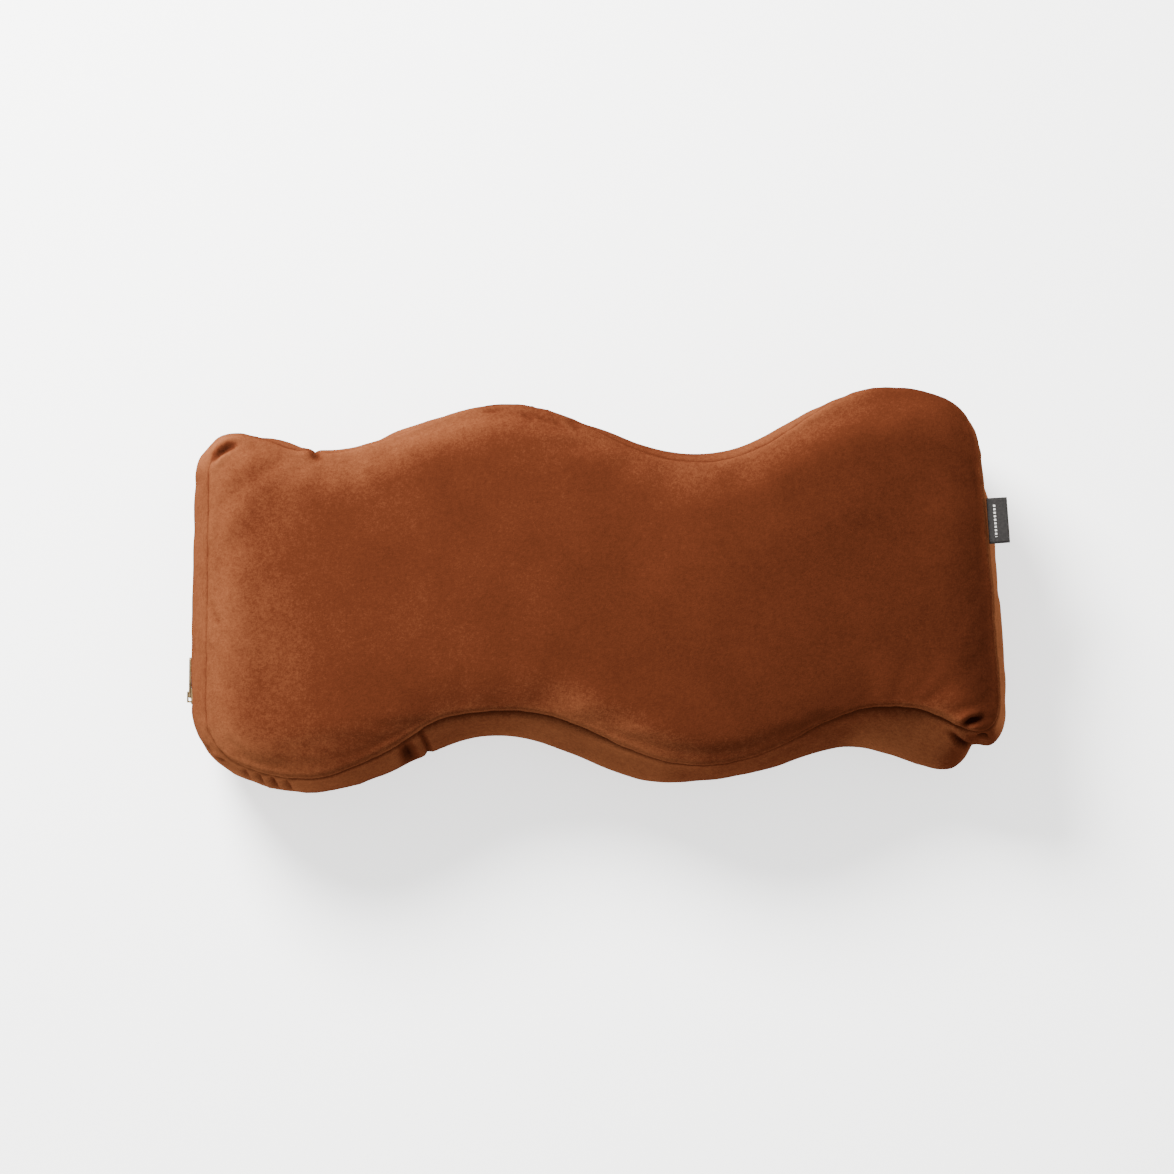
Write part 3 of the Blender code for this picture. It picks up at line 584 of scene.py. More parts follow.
class Finish:
    """Seams, puckers and folds pressed into the fine form."""

    def __init__(self, form):
        self.form, self.thing, self.pattern = form, form.thing, form.pattern
        self.points = coordinates(self.thing.data)
        self.u, self.v, self.height = [noted(self.thing, name) for name in ("u", "v", "height")]
        self.on_edge = noted(self.thing, "edge") > 0.999
        self.reach = self.pattern.edge_reach(np.where(self.u < 1e-4, 0, np.where(self.u > 1 - 1e-4, 1, self.u)),
                                             np.where(self.v < 1e-4, 0, np.where(self.v > 1 - 1e-4, 1, self.v)))
        self.turn()

    def turn(self):
        """Reads the vertex directions of the form as it now is."""
        set_coordinates(self.thing.data, self.points)
        self.direction = normals(self.thing.data)

    def distance_to(self, line, limit=0.03):
        """Distance of each vertex from a dense line of points, and the nearest one's number."""
        tree = kdtree.KDTree(len(line))
        for index, place in enumerate(line):
            tree.insert(place, index)
        tree.balance()
        far = np.full(len(self.points), limit)
        nearest = np.zeros(len(self.points), int)
        for index, place in enumerate(self.points):
            _, number, distance = tree.find(place)
            far[index] = min(distance, limit)
            nearest[index] = number
        return far, nearest

    def push(self, amount):
        """Moves every vertex along its direction."""
        self.points = self.points + self.direction * amount[:, None]

    def seam_lines(self):
        """Both long seams, the cross seams and the closed middle of the zip boxing."""
        form, lines = self.form, []
        for level in (0, len(form.levels) - 1):
            rim = np.nonzero(form.on_edge & (form.level == level))[0]
            rim = rim[np.argsort(form.reach[rim])]
            lines.append(dense_line(form.points[np.append(rim, rim[0])], 0.0006))
        for sign, cross in ((-1, form.front_cross), (1, form.back_cross)):
            edge = form.on_edge & (np.sign(form.v - 0.5) == sign) & (form.v % 1 == 0)
            nearest = form.reach[edge][np.argmin(np.abs(form.reach[edge] - cross))]
            column = np.nonzero(edge & (np.abs(form.reach - nearest) < 1e-6))[0]
            column = column[np.argsort(form.level[column])]
            lines.append(dense_line(form.points[column], 0.0006))
        row = form.on_edge & (form.level == (len(form.levels) - 1) // 2)
        beyond = (form.reach < form.front_cross + 0.002) | (form.reach > form.back_cross - 0.002)
        slot = (form.u <= 0) & (np.abs(form.points[:, 1] - ZIP_MIDDLE_Y) < ZIP_HALF + 0.002)
        ring = np.nonzero(row & beyond & ~slot)[0]
        for part in (ring[form.points[ring, 1] < 0], ring[form.points[ring, 1] > 0]):
            order = np.mod(form.reach[part] + 0.4, self.pattern.reach[-1])
            lines.append(dense_line(form.points[part[np.argsort(order)]], 0.0006))
        return lines

    def press_seams(self):
        """Draws every seam in, with small gathers beside it."""
        lines = self.seam_lines()
        spots = np.concatenate(lines)
        counts = np.cumsum([0] + [len(line) for line in lines])
        far, nearest = self.distance_to(spots)
        kind = np.searchsorted(counts, nearest, side="right") - 1
        depth = np.where(kind < 2, 0.0012, 0.0012)
        self.push(-depth * np.exp(-(far / 0.0019) ** 2) - 0.0004 * np.exp(-(far / 0.0008) ** 2))
        self.seam_far = far
        # Painted shade: a dark line along each seam, where its valley would be shaded.
        self.shade = np.exp(-(far / 0.0011) ** 2)
        gather = np.zeros(len(far))
        along = nearest * 0.0006
        for index in np.nonzero(far < 0.022)[0]:
            place = Vector((along[index] * 95.0, far[index] * 18.0 + kind[index] * 7.0, 0.5))
            gather[index] = noise.noise(place) + 0.5 * noise.noise(place * 2.3)
        near = np.exp(-(far / 0.009) ** 2) * (1 - np.exp(-(far / 0.0015) ** 2))
        self.push(np.where(kind == 0, 0.0002, 0.0006) * gather * near)
        self.turn()

    def fold(self, line, width, depth, ridge=0.5, lean=0.0):
        """A crease along a line: a valley with a soft ridge on each side, or mostly on one."""
        far, share, side = near_line(self.points, self.direction, dense_line(np.array(line), 0.001))
        fade = np.sin(np.pi * np.clip(share, 0.02, 0.98)) ** 0.6
        valley = -depth * np.exp(-(far / width) ** 2)
        crest = depth * ridge * (1 + lean * side) * np.exp(-((far - 1.9 * width) / (1.1 * width)) ** 2)
        # Painted shade: creases deeper than 0.7 mm are also darkened in the velvet's colour along their valley.
        shade = fade * np.clip((depth - 0.0007) / 0.0008, 0.0, 1.8) * np.exp(-(far / (0.9 * width)) ** 2)
        self.shade = np.maximum(self.shade, shade)
        fade = fade * (1 - 0.8 * np.exp(-(self.seam_far / 0.0022) ** 2))
        self.push(fade * (valley + crest) * (far < 8 * width))

    def slack(self):
        """The cloth's own slow unevenness over the foam."""
        wave = np.array([noise.noise(Vector(p) * 16.0) + 0.5 * noise.noise(Vector(p) * 41.0)
                         for p in self.points])
        calm = smooth_step(0.0, 0.02, self.points[:, 2])
        slot = (self.u < 0.02) & (np.abs(self.points[:, 2] - MIDDLE_Z) < 0.012)
        self.push(0.0004 * wave * calm * np.where(slot, 0.0, 1.0))

    def hem(self):
        """Thickens the folded cloth along both lips of the zip slot."""
        off = np.abs(self.points[:, 2] - MIDDLE_Z) - SLOT_HALF
        inside = (self.u < 0.01) & (off > -0.0005)
        along = np.abs(self.points[:, 1] - ZIP_MIDDLE_Y) - ZIP_HALF
        raised = smooth_step(0.0075, 0.0060, off) * smooth_step(0.010, 0.004, along)
        stitched = np.exp(-((off - 0.0050) / 0.0009) ** 2) * smooth_step(0.006, 0.002, along)
        self.push(np.where(inside, 0.0007 * raised - 0.0006 * stitched, 0.0))

    def keep(self):
        """Puts the finished places in the mesh, above the ground, with the smoothed facing directions and the seam
        and fold shade noted for the velvet's painted light and shade.
        """
        self.points[:, 2] = np.maximum(self.points[:, 2], 0.0)
        self.turn()
        # Smoothed facing directions, kept for the velvet's painted light and sheen.
        lean = averaged(self.thing.data, self.direction, 14)
        lean /= np.maximum(np.linalg.norm(lean, axis=1), 1e-6)[:, None]
        for k, name in enumerate(("lean_x", "lean_y", "lean_z")):
            note(self.thing, name, lean[:, k])
        note(self.thing, "shade", self.shade)


def dense_line(places, step):
    """Points a small step apart along a line of places."""
    reach = np.concatenate(([0.0], np.cumsum(np.linalg.norm(np.diff(places, axis=0), axis=1))))
    count = max(2, int(round(reach[-1] / step)) + 1)
    share = np.linspace(0.0, reach[-1], count)
    return np.column_stack([np.interp(share, reach, places[:, k]) for k in range(3)])


def cut_cloth(form, name, kinds):
    """A new object with only the faces cut from some of the cloths."""
    sheet = bmesh.new()
    sheet.from_mesh(form.thing.data)
    layer = sheet.faces.layers.int["cloth"]
    spare = [face for face in sheet.faces if face[layer] not in kinds]
    bmesh.ops.delete(sheet, geom=spare, context="FACES")
    for face in sheet.faces:
        face.smooth = True
    for edge in sheet.edges:
        edge.smooth = not edge.is_boundary
    return new_piece(name, sheet)


def new_piece(name, solid):
    """An object at the origin that holds a bmesh."""
    mesh = bpy.data.meshes.new(name)
    solid.to_mesh(mesh)
    solid.free()
    thing = bpy.data.objects.new(name, mesh)
    bpy.context.scene.collection.objects.link(thing)
    return thing


def thickened(thing, thickness):
    """Gives a cloth its thickness on the inner side."""
    modifier = thing.modifiers.new("cloth thickness", "SOLIDIFY")
    modifier.thickness = thickness
    modifier.offset = -1.0
    modifier.use_rim = True
    # The rim faces inside each seam take the second material, a near-black painted seam shadow.
    modifier.material_offset_rim = 1
    return thing


# Creases in the cloth: the points each runs through, its width, its depth, and how high the
# ridges beside it are as a share of that depth, more on one side where lean isn't 0.
FOLDS = (
    (((-0.2282, 0.0725, 0.0880), (-0.2232, 0.0785, 0.0915), (-0.2125, 0.0838, 0.0935)), 0.0027, 0.0030, 0.3, 0.4),
    (((-0.2266, 0.0697, 0.0954), (-0.2203, 0.0759, 0.0942), (-0.2128, 0.0806, 0.0944)), 0.0018, -0.0012, 0.0, 0.0),
    (((-0.2305, 0.0831, 0.0793), (-0.2265, 0.0874, 0.0786)), 0.0015, 0.0010, 0.4, 0.0),
    (((-0.2319, -0.0911, 0.0737), (-0.2278, -0.0958, 0.0732)), 0.0016, 0.0012, 0.4, 0.0),
    (((-0.2254, -0.0987, 0.0732), (-0.2183, -0.1018, 0.0812)), 0.0016, 0.0012, 0.4, 0.0),
    (((-0.2298, -0.0817, 0.0858), (-0.2269, -0.0886, 0.0843)), 0.0016, 0.0011, 0.4, 0.0),
    (((-0.2288, -0.0086, 0.0937), (-0.2264, -0.0121, 0.0938), (-0.2239, -0.0153, 0.0951)), 0.0018, 0.0010, 0.6, 0.3),
    (((-0.2269, -0.0169, 0.0940), (-0.2207, -0.0225, 0.0969)), 0.0018, 0.0010, 0.6, 0.0),
    (((-0.2285, -0.0344, 0.0934), (-0.2254, -0.0387, 0.0943)), 0.0016, 0.0009, 0.5, 0.0),
    (((-0.2079, -0.1075, 0.0860), (-0.2063, -0.1101, 0.0700), (-0.2054, -0.1108, 0.0600)), 0.0018, 0.0014, 0.7, 0.3),
    (((-0.2001, -0.1099, 0.0870), (-0.1983, -0.1134, 0.0700), (-0.1970, -0.1145, 0.0580)), 0.0018, 0.0015, 0.7, 0.3),
    (((-0.1916, -0.1116, 0.0875), (-0.1902, -0.1145, 0.0700), (-0.1892, -0.1153, 0.0560)), 0.0018, 0.0015, 0.7, 0.3),
    (((-0.1834, -0.1128, 0.0875), (-0.1820, -0.1155, 0.0700), (-0.1812, -0.1163, 0.0560)), 0.0017, 0.0014, 0.7, 0.3),
    (((-0.1075, -0.0880, 0.0870), (-0.1078, -0.0935, 0.0650), (-0.1080, -0.0940, 0.0450)), 0.0013, -0.0018, 0.0, 0.0),
    (((-0.1150, -0.0900, 0.0880), (-0.1130, -0.0955, 0.0700), (-0.1130, -0.0960, 0.0450)), 0.0042, 0.0022, 0.2, 0.0),
    (((-0.1728, 0.0798, 0.0851), (-0.1690, 0.0768, 0.0900), (-0.1648, 0.0734, 0.0955)), 0.0020, 0.0020, 0.6, 0.0),
    (((-0.0687, 0.1006, 0.0897), (-0.0571, 0.1009, 0.0897)), 0.0016, 0.0010, 0.5, 0.0),
    (((-0.0460, 0.1002, 0.0898), (-0.0406, 0.0950, 0.0940)), 0.0016, 0.0010, 0.6, 0.0),
    (((-0.0379, 0.0993, 0.0901), (-0.0307, 0.0940, 0.0940)), 0.0016, 0.0010, 0.6, 0.0),
    (((-0.0285, 0.0968, 0.0899), (-0.0236, 0.0910, 0.0945)), 0.0016, 0.0010, 0.6, 0.0),
    (((-0.0208, 0.0956, 0.0870), (-0.0125, 0.0900, 0.0930)), 0.0017, 0.0010, 0.6, 0.0),
    (((0.2100, -0.0835, 0.0925), (0.2161, -0.0805, 0.0970), (0.2240, -0.0778, 0.0950)), 0.0022, 0.0026, 0.6, 0.4),
    (((0.2049, -0.0842, 0.0830), (0.2102, -0.0885, 0.0772), (0.2180, -0.0908, 0.0680)), 0.0020, 0.0020, 0.6, 0.0),
    (((0.2229, -0.0865, 0.0830), (0.2254, -0.0908, 0.0706)), 0.0026, 0.0032, 0.4, 0.0),
)


COVER_PIECES = (
    ("cover_top", (TOP,), "cover_top_panel"),
    ("cover_bottom", (BOTTOM,), "cover_bottom_panel"),
    ("cover_side", (MAIN,), "cover_main_boxing"),
    ("cover_zip_side_upper", (ZIP_UPPER,), "cover_zip_boxing_upper"),
    ("cover_zip_side_lower", (ZIP_LOWER,), "cover_zip_boxing_lower"),
)


def build_cover(form, cloth):
    """The five cloths of the cover, cut from one filled form."""
    thing = form.thing
    levels = len(form.levels) - 1
    for name, values in (("u", form.u), ("v", form.v), ("height", form.height),
                         ("edge", form.on_edge.astype(float))):
        note(thing, name, values)
    crease = thing.data.attributes.new("crease_edge", "FLOAT", "EDGE")
    for edge in thing.data.edges:
        a, b = edge.vertices
        rim = form.on_edge[a] and form.on_edge[b] and form.level[a] == form.level[b]
        if rim and form.level[a] in (0, levels):
            crease.data[edge.index].value = 0.7
    finer(thing)
    finish = Finish(form)
    finish.press_seams()
    finish.slack()
    finish.hem()
    finish.turn()
    for path, width, depth, ridge, lean in FOLDS:
        finish.fold(path, width, depth, ridge, lean)
    finish.keep()
    material = (velvet_paint(cloth), seam_shadow_paint())
    for name, kinds, node in COVER_PIECES:
        piece = thickened(cut_cloth(form, name, kinds), cloth.cloth_thick)
        finish_piece(piece, material, "pillow", (node,))
    tree = bvhtree.BVHTree.FromObject(thing, bpy.context.evaluated_depsgraph_get())
    bpy.data.objects.remove(thing)
    return tree


def inner_form(form, depth, smoothing):
    """The filled form, smoothed and moved inwards, for what lies under the cover."""
    thing = form.thing
    solid = bmesh.new()
    solid.from_mesh(thing.data)
    for _ in range(smoothing):
        bmesh.ops.smooth_vert(solid, verts=solid.verts, factor=0.5, use_axis_x=True,
                              use_axis_y=True, use_axis_z=True)
    solid.normal_update()
    moves = [(vert, vert.co - vert.normal * depth) for vert in solid.verts]
    for vert, place in moves:
        vert.co = place
        vert.co.z = max(vert.co.z, depth * 0.6)
    return solid


def cotton_paint():
    """Plain unbleached cotton, woven over and under."""
    paint = Paint("liner_cotton", 0.88, Specular_IOR_Level=0.2)
    cloud = paint.noise(60.0, 3.0)
    paint.colour(paint.ramp(cloud, (0.25, (0.70, 0.65, 0.56)), (0.75, (0.82, 0.78, 0.70))))
    weave = paint.node("ShaderNodeTexWave", wave_type="BANDS", bands_direction="DIAGONAL")
    weave.inputs["Scale"].default_value = 260.0
    weave.inputs["Distortion"].default_value = 1.5
    paint.link(paint.place.outputs["Object"], weave.inputs["Vector"])
    paint.bump(weave.outputs["Fac"], 0.0002, 0.5)
    paint.bump(paint.noise(700.0, 2.0), 0.0002, 0.4)
    return paint.material


def foam_paint():
    """Open-cell foam: pale, matte and full of small pores."""
    paint = Paint("foam", 0.95, Specular_IOR_Level=0.1)
    cells = paint.node("ShaderNodeTexVoronoi", feature="F1")
    cells.inputs["Scale"].default_value = 900.0
    paint.link(paint.place.outputs["Object"], cells.inputs["Vector"])
    paint.colour(paint.ramp(cells.outputs["Distance"], (0.05, (0.62, 0.55, 0.40)), (0.45, (0.87, 0.82, 0.68))))
    paint.bump(cells.outputs["Distance"], 0.0004, 0.7)
    paint.bump(paint.noise(35.0, 2.0), 0.0008, 0.4)
    return paint.material


def build_inside(form):
    """The foam block and the three cloths of its liner."""
    core = inner_form(form, 0.0070, 4)
    for face in core.faces:
        face.smooth = True
    foam = new_piece("foam_block", core)
    finish_piece(foam, foam_paint(), "pillow", ("foam_core",))
    cotton = (cotton_paint(), seam_shadow_paint())
    lining = inner_form(form, 0.0052, 4)
    layer = lining.faces.layers.int["cloth"]
    for name, kinds, node in (("liner_top_cloth", (TOP,), "liner_top"),
                              ("liner_bottom_cloth", (BOTTOM,), "liner_bottom"),
                              ("liner_side_cloth", (MAIN, ZIP_UPPER, ZIP_LOWER, SLOT), "liner_boxing")):
        sheet = lining.copy()
        layer = sheet.faces.layers.int["cloth"]
        spare = [face for face in sheet.faces if face[layer] not in kinds]
        bmesh.ops.delete(sheet, geom=spare, context="FACES")
        for face in sheet.faces:
            face.smooth = True
        piece = thickened(new_piece(name, sheet), 0.0006)
        finish_piece(piece, cotton, "pillow", (node,))
    lining.free()


# ---------------------------------------------------------------- paint

class Paint:
    """A Principled material under construction."""

    def __init__(self, name, roughness, **fixed):
        self.material = bpy.data.materials.new(name)
        self.material.use_nodes = True
        self.tree = self.material.node_tree
        self.shader = self.tree.nodes["Principled BSDF"]
        self.shader.inputs["Roughness"].default_value = roughness
        for key, value in fixed.items():
            self.shader.inputs[key.replace("_", " ")].default_value = value
        self.place = self.tree.nodes.new("ShaderNodeTexCoord")

    def node(self, kind, **values):
        made = self.tree.nodes.new(kind)
        for key, value in values.items():
            setattr(made, key, value)
        return made

    def link(self, source, target):
        if isinstance(source, (int, float, tuple)):
            target.default_value = source
        else:
            self.tree.links.new(source, target)

    def math(self, operation, a, b=0.0, c=0.0, clamp=False):
        made = self.node("ShaderNodeMath", operation=operation, use_clamp=clamp)
        for value, target in zip((a, b, c), made.inputs):
            self.link(value, target)
        return made.outputs[0]

    def stretched(self, scale):
        """Object coordinates, scaled along each axis."""
        made = self.node("ShaderNodeMapping")
        made.inputs["Scale"].default_value = scale
        self.link(self.place.outputs["Object"], made.inputs["Vector"])
        return made.outputs[0]

    def noise(self, scale, detail=3.0, stretch=(1, 1, 1)):
        made = self.node("ShaderNodeTexNoise")
        made.inputs["Scale"].default_value = scale
        made.inputs["Detail"].default_value = detail
        self.link(self.stretched(stretch), made.inputs["Vector"])
        return made.outputs["Fac"]

    def toward(self, direction):
        """How far the surface faces a direction, from -1 to 1."""
        made = self.node("ShaderNodeVectorMath", operation="DOT_PRODUCT")
        self.link(self.place.outputs["Normal"], made.inputs[0])
        made.inputs[1].default_value = Vector(direction).normalized()
        return made.outputs["Value"]

    def noted(self, name):
        """A number kept on the vertices."""
        return self.node("ShaderNodeAttribute", attribute_name=name).outputs["Fac"]

    def axis(self, name):
        made = self.node("ShaderNodeSeparateXYZ")
        self.link(self.place.outputs["Object"], made.inputs[0])
        return made.outputs[name]

    def spread(self, value, low, high, to_low=0.0, to_high=1.0):
        made = self.node("ShaderNodeMapRange")
        for source, target in zip((value, low, high, to_low, to_high), made.inputs):
            self.link(source, target)
        return made.outputs["Result"]

    def ramp(self, value, *stops):
        """Colours at places along a value from 0 to 1."""
        made = self.node("ShaderNodeValToRGB")
        elements = made.color_ramp.elements
        while len(elements) < len(stops):
            elements.new(0.5)
        for element, (place, tint) in zip(elements, stops):
            element.position = place
            element.color = (*tint, 1.0)
        self.link(value, made.inputs["Fac"])
        return made.outputs["Color"]

    def colour(self, source):
        target = self.shader.inputs["Base Color"]
        if isinstance(source, (tuple, list)) or hasattr(source, "hsv"):
            target.default_value = (*source, 1.0)
        else:
            self.link(source, target)

    def bump(self, height, distance, strength=1.0):
        """Adds a bump of a height in metres, on top of any before it."""
        made = self.node("ShaderNodeBump")
        made.inputs["Strength"].default_value = strength
        made.inputs["Distance"].default_value = distance
        self.link(height, made.inputs["Height"])
        before = self.shader.inputs["Normal"]
        if before.is_linked:
            self.link(before.links[0].from_socket, made.inputs["Normal"])
        self.link(made.outputs["Normal"], before)

    def roughness(self, source):
        self.link(source, self.shader.inputs["Roughness"])


def velvet_paint(cloth):
    """Short-piled velvet whose colour carries painted light and shade: lighter towards the left end and the back,
    painted sheen where the surface faces outward, painted shade in the seams and folds.
    """
    paint = Paint("velvet", 0.82, Specular_IOR_Level=0.0)
    # Painted light: lighter towards the left end and darker towards the right, as the key light falls off.
    total = paint.spread(paint.axis("X"), -0.24, 0.24, 0.41, 0.22)
    # Painted light: a little lighter towards the back, which faces the key light.
    across = paint.spread(paint.axis("Y"), -0.12, 0.12, -0.01, 0.05)
    total = paint.math("ADD", total, across)
    # Painted highlight and sheen: lighter where the smoothed surface faces left, front, back or straight out to the
    # right; a little darker on the right shoulder.
    for name, sign, slant, square in (("lean_x", -1.0, 0.60, 0.12), ("lean_x", 1.0, -0.30, 0.55),
                                      ("lean_y", -1.0, 0.45, 0.22), ("lean_y", 1.0, 0.50, 0.10)):
        facing = paint.math("MAXIMUM", paint.math("MULTIPLY", paint.noted(name), sign), 0.0)
        tilted = paint.math("MULTIPLY", facing, paint.math("SUBTRACT", 1.0, facing))
        total = paint.math("ADD", total, paint.math("MULTIPLY", tilted, slant))
        total = paint.math("ADD", total, paint.math("MULTIPLY", paint.math("POWER", facing, 3.0), square))
    # Painted shade: darker along the seam valleys and deep folds.
    total = paint.math("SUBTRACT", total, paint.math("MULTIPLY", paint.noted("shade"), 0.30))
    for scale, share in ((9.0, 0.13), (40.0, 0.05), (190.0, 0.05), (560.0, 0.10), (1500.0, 0.12)):
        cloud = paint.spread(paint.noise(scale, 2.0), 0.0, 1.0, -share, share)
        total = paint.math("ADD", total, cloud)
    # The ramp runs from painted shade through the plain velvet to painted highlight.
    light, plain, dark = (tuple(tint) for tint in (cloth.velvet_painted_light, cloth.velvet, cloth.velvet_painted_shade))
    paint.colour(paint.ramp(total, (0.0, dark), (0.42, plain), (1.0, light)))
    paint.bump(paint.noise(1100.0, 2.0), 0.0003, 0.45)
    paint.bump(paint.noise(420.0, 2.0), 0.0004, 0.30)
    return paint.material


def seam_shadow_paint():
    """Painted shadow: the turn of the cloth inside a seam, coloured near-black as if in shade."""
    paint = Paint("seam_turn", 0.95, Specular_IOR_Level=0.0)
    paint.colour(paint.ramp(paint.noise(300.0, 2.0), (0.3, (0.008, 0.002, 0.0006)), (0.7, (0.022, 0.006, 0.0016))))
    return paint.material


def finish_piece(thing, material, body, nodes=()):
    """Gives a piece its material, or materials, its CAD body and what it stands for."""
    thing.data.materials.clear()
    for item in material if isinstance(material, tuple) else (material,):
        thing.data.materials.append(item)
    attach(thing, body)
    if nodes:
        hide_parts(*nodes)
    return thing


# ---------------------------------------------------------------- zip

def tape_paint():
    """Herringbone woven tape, dyed to match the velvet."""
    paint = Paint("zip_tape", 0.85, Specular_IOR_Level=0.0)
    rib = paint.node("ShaderNodeTexWave", wave_type="BANDS", bands_direction="Z")
    rib.inputs["Scale"].default_value = 190.0
    rib.inputs["Distortion"].default_value = 0.6
    paint.link(paint.place.outputs["Object"], rib.inputs["Vector"])
    pick = paint.node("ShaderNodeTexWave", wave_type="BANDS", bands_direction="Y")
    pick.inputs["Scale"].default_value = 330.0
    paint.link(paint.place.outputs["Object"], pick.inputs["Vector"])
    weave = paint.math("MULTIPLY", rib.outputs["Fac"], pick.outputs["Fac"])
    paint.colour(paint.ramp(weave, (0.1, (0.026, 0.0070, 0.0024)), (0.8, (0.060, 0.017, 0.0058))))
    paint.bump(weave, 0.00022, 0.8)
    return paint.material


def nylon_paint():
    """Satin nylon, a shade lighter than the tape."""
    paint = Paint("zip_coil", 0.50, Specular_IOR_Level=0.15)
    cloud = paint.noise(260.0, 2.0)
    paint.colour(paint.ramp(cloud, (0.3, (0.040, 0.0115, 0.0040)), (0.7, (0.062, 0.019, 0.0066))))
    paint.bump(paint.noise(2600.0, 2.0), 0.00006, 0.3)
    return paint.material


def brass_paint():
    """Antique brass: plated and brushed by use, its tone varying at random."""
    paint = Paint("zip_brass", 0.34, Metallic=1.0)
    cloud = paint.noise(420.0, 4.0)
    paint.colour(paint.ramp(cloud, (0.30, (0.055, 0.034, 0.015)), (0.62, (0.14, 0.092, 0.044))))
    paint.roughness(paint.spread(paint.noise(900.0, 3.0), 0.0, 1.0, 0.36, 0.56))
    paint.bump(paint.noise(1500.0, 3.0, (1.0, 0.12, 1.0)), 0.00005, 0.35)
    return paint.material


def box_piece(name, low, high, rounding, segments=2):
    """A rounded box between two corners."""
    low, high = Vector(low), Vector(high)
    solid = bmesh.new()
    bmesh.ops.create_cube(solid, size=1.0)
    bmesh.ops.scale(solid, vec=high - low, verts=solid.verts)
    bmesh.ops.translate(solid, vec=(low + high) / 2, verts=solid.verts)
    bmesh.ops.bevel(solid, geom=solid.edges[:], offset=rounding, segments=segments,
                    affect="EDGES", profile=0.5, material=-1)
    for face in solid.faces:
        face.smooth = True
    return new_piece(name, solid)


def tube_piece(name, lines, radius, sides=6, closed=False):
    """A round thread along each of some lines of points."""
    curve = bpy.data.curves.new(name, "CURVE")
    curve.dimensions = "3D"
    curve.bevel_depth = radius
    curve.bevel_resolution = max(0, (sides - 4) // 2)
    curve.use_fill_caps = True
    for line in lines:
        spline = curve.splines.new("POLY")
        spline.points.add(len(line) - 1)
        spline.use_cyclic_u = closed
        for point, place in zip(spline.points, line):
            point.co = (*place, 1.0)
    holder = bpy.data.objects.new(name, curve)
    bpy.context.scene.collection.objects.link(holder)
    graph = bpy.context.evaluated_depsgraph_get()
    mesh = bpy.data.meshes.new_from_object(holder.evaluated_get(graph))
    bpy.data.objects.remove(holder)
    thing = bpy.data.objects.new(name, mesh)
    bpy.context.scene.collection.objects.link(thing)
    for face in mesh.polygons:
        face.use_smooth = True
    return thing


def joined(name, things):
    """One object out of several."""
    solid = bmesh.new()
    for thing in things:
        solid.from_mesh(thing.data)
        bpy.data.objects.remove(thing)
    return new_piece(name, solid)


def coil_lines(side, low, high):
    """The looped filament of one row of teeth, flattened where it locks, and its core cord."""
    turns = 51
    pitch = (high.y - low.y) / turns
    middle_x = (low.x + high.x) / 2
    half_x = (high.x - low.x) / 2 - 0.00042
    inner, outer = 0.0006, 0.0030
    reach = (outer - inner) / 2
    phase = 0.0 if side > 0 else 0.5
    loop = []
    for step in range(turns * 14 + 1):
        turn = step / 14
        angle = 2 * math.pi * (turn + phase)
        swing = math.cos(angle)
        loop.append((middle_x + half_x * math.sin(angle), low.y + pitch * turn,
                     MIDDLE_Z + side * ((inner + outer) / 2 - reach * swing)))
    cord = [(middle_x, y, MIDDLE_Z + side * 0.0017) for y in (low.y, high.y)]
    return loop, cord


def build_zip(form):
    """Tapes, coils, stops and the stitches that hold the tapes behind the slot's lips."""
    tape, nylon, brass = tape_paint(), nylon_paint(), brass_paint()
    back_x = TAPE_HIGH.x
    for name, side, node, low, high in (
            ("zip_tape_upper_woven", 1, "zip_tape_upper", UPPER_TAPE_LOW, UPPER_TAPE_HIGH),
            ("zip_tape_lower_woven", -1, "zip_tape_lower", TAPE_LOW, TAPE_HIGH)):
        near, far = MIDDLE_Z + side * 0.0005, MIDDLE_Z + side * (SLOT_HALF + 0.0028)
        corners = sorted((near, far))
        thing = box_piece(name, (back_x - 0.0002, low.y - 0.0005, corners[0]),
                          (back_x + 0.0002, high.y + 0.0005, corners[1]), 0.00014)
        finish_piece(thing, tape, "pillow", (node,))
    for name, side, node, low, high in (
            ("zip_coil_upper", 1, "zip_teeth_upper", UPPER_TEETH_LOW, UPPER_TEETH_HIGH),
            ("zip_coil_lower", -1, "zip_teeth_lower", TEETH_LOW, TEETH_HIGH)):
        loop, cord = coil_lines(side, low, high)
        things = [tube_piece(name + "_loop", [loop], 0.00042), tube_piece(name + "_core", [cord], 0.00055)]
        finish_piece(joined(name, things), nylon, "pillow", (node,))
    for name, node in (("zip_stop_front", "zip_front_stop"), ("zip_stop_back", "zip_back_stop")):
        thing = rounded_node(node, name, 0.00035)
        finish_piece(thing, brass, "pillow", (node,))
    lines = []
    lip_x = TAPE_LOW.x - 0.0006
    for side in (-1, 1):
        z = MIDDLE_Z + side * (SLOT_HALF + 0.0050)
        count = int(2 * ZIP_HALF / 0.0032)
        for index in range(count):
            y = ZIP_MIDDLE_Y - ZIP_HALF + (index + 0.5) * 2 * ZIP_HALF / count
            x = surface_x(form, y, z)
            lines.append([(x + 0.0006, y - 0.0013, z), (x - 0.00012, y - 0.0009, z),
                          (x - 0.00022, y, z), (x - 0.00012, y + 0.0009, z), (x + 0.0006, y + 0.0013, z)])
    thread = Paint("zip_thread", 0.8, Specular_IOR_Level=0.0)
    thread.colour(thread.ramp(thread.noise(2200.0, 2.0), (0.3, (0.075, 0.021, 0.0075)), (0.7, (0.12, 0.037, 0.013))))
    finish_piece(tube_piece("zip_stitches", lines, 0.00026), thread.material, "pillow", ())


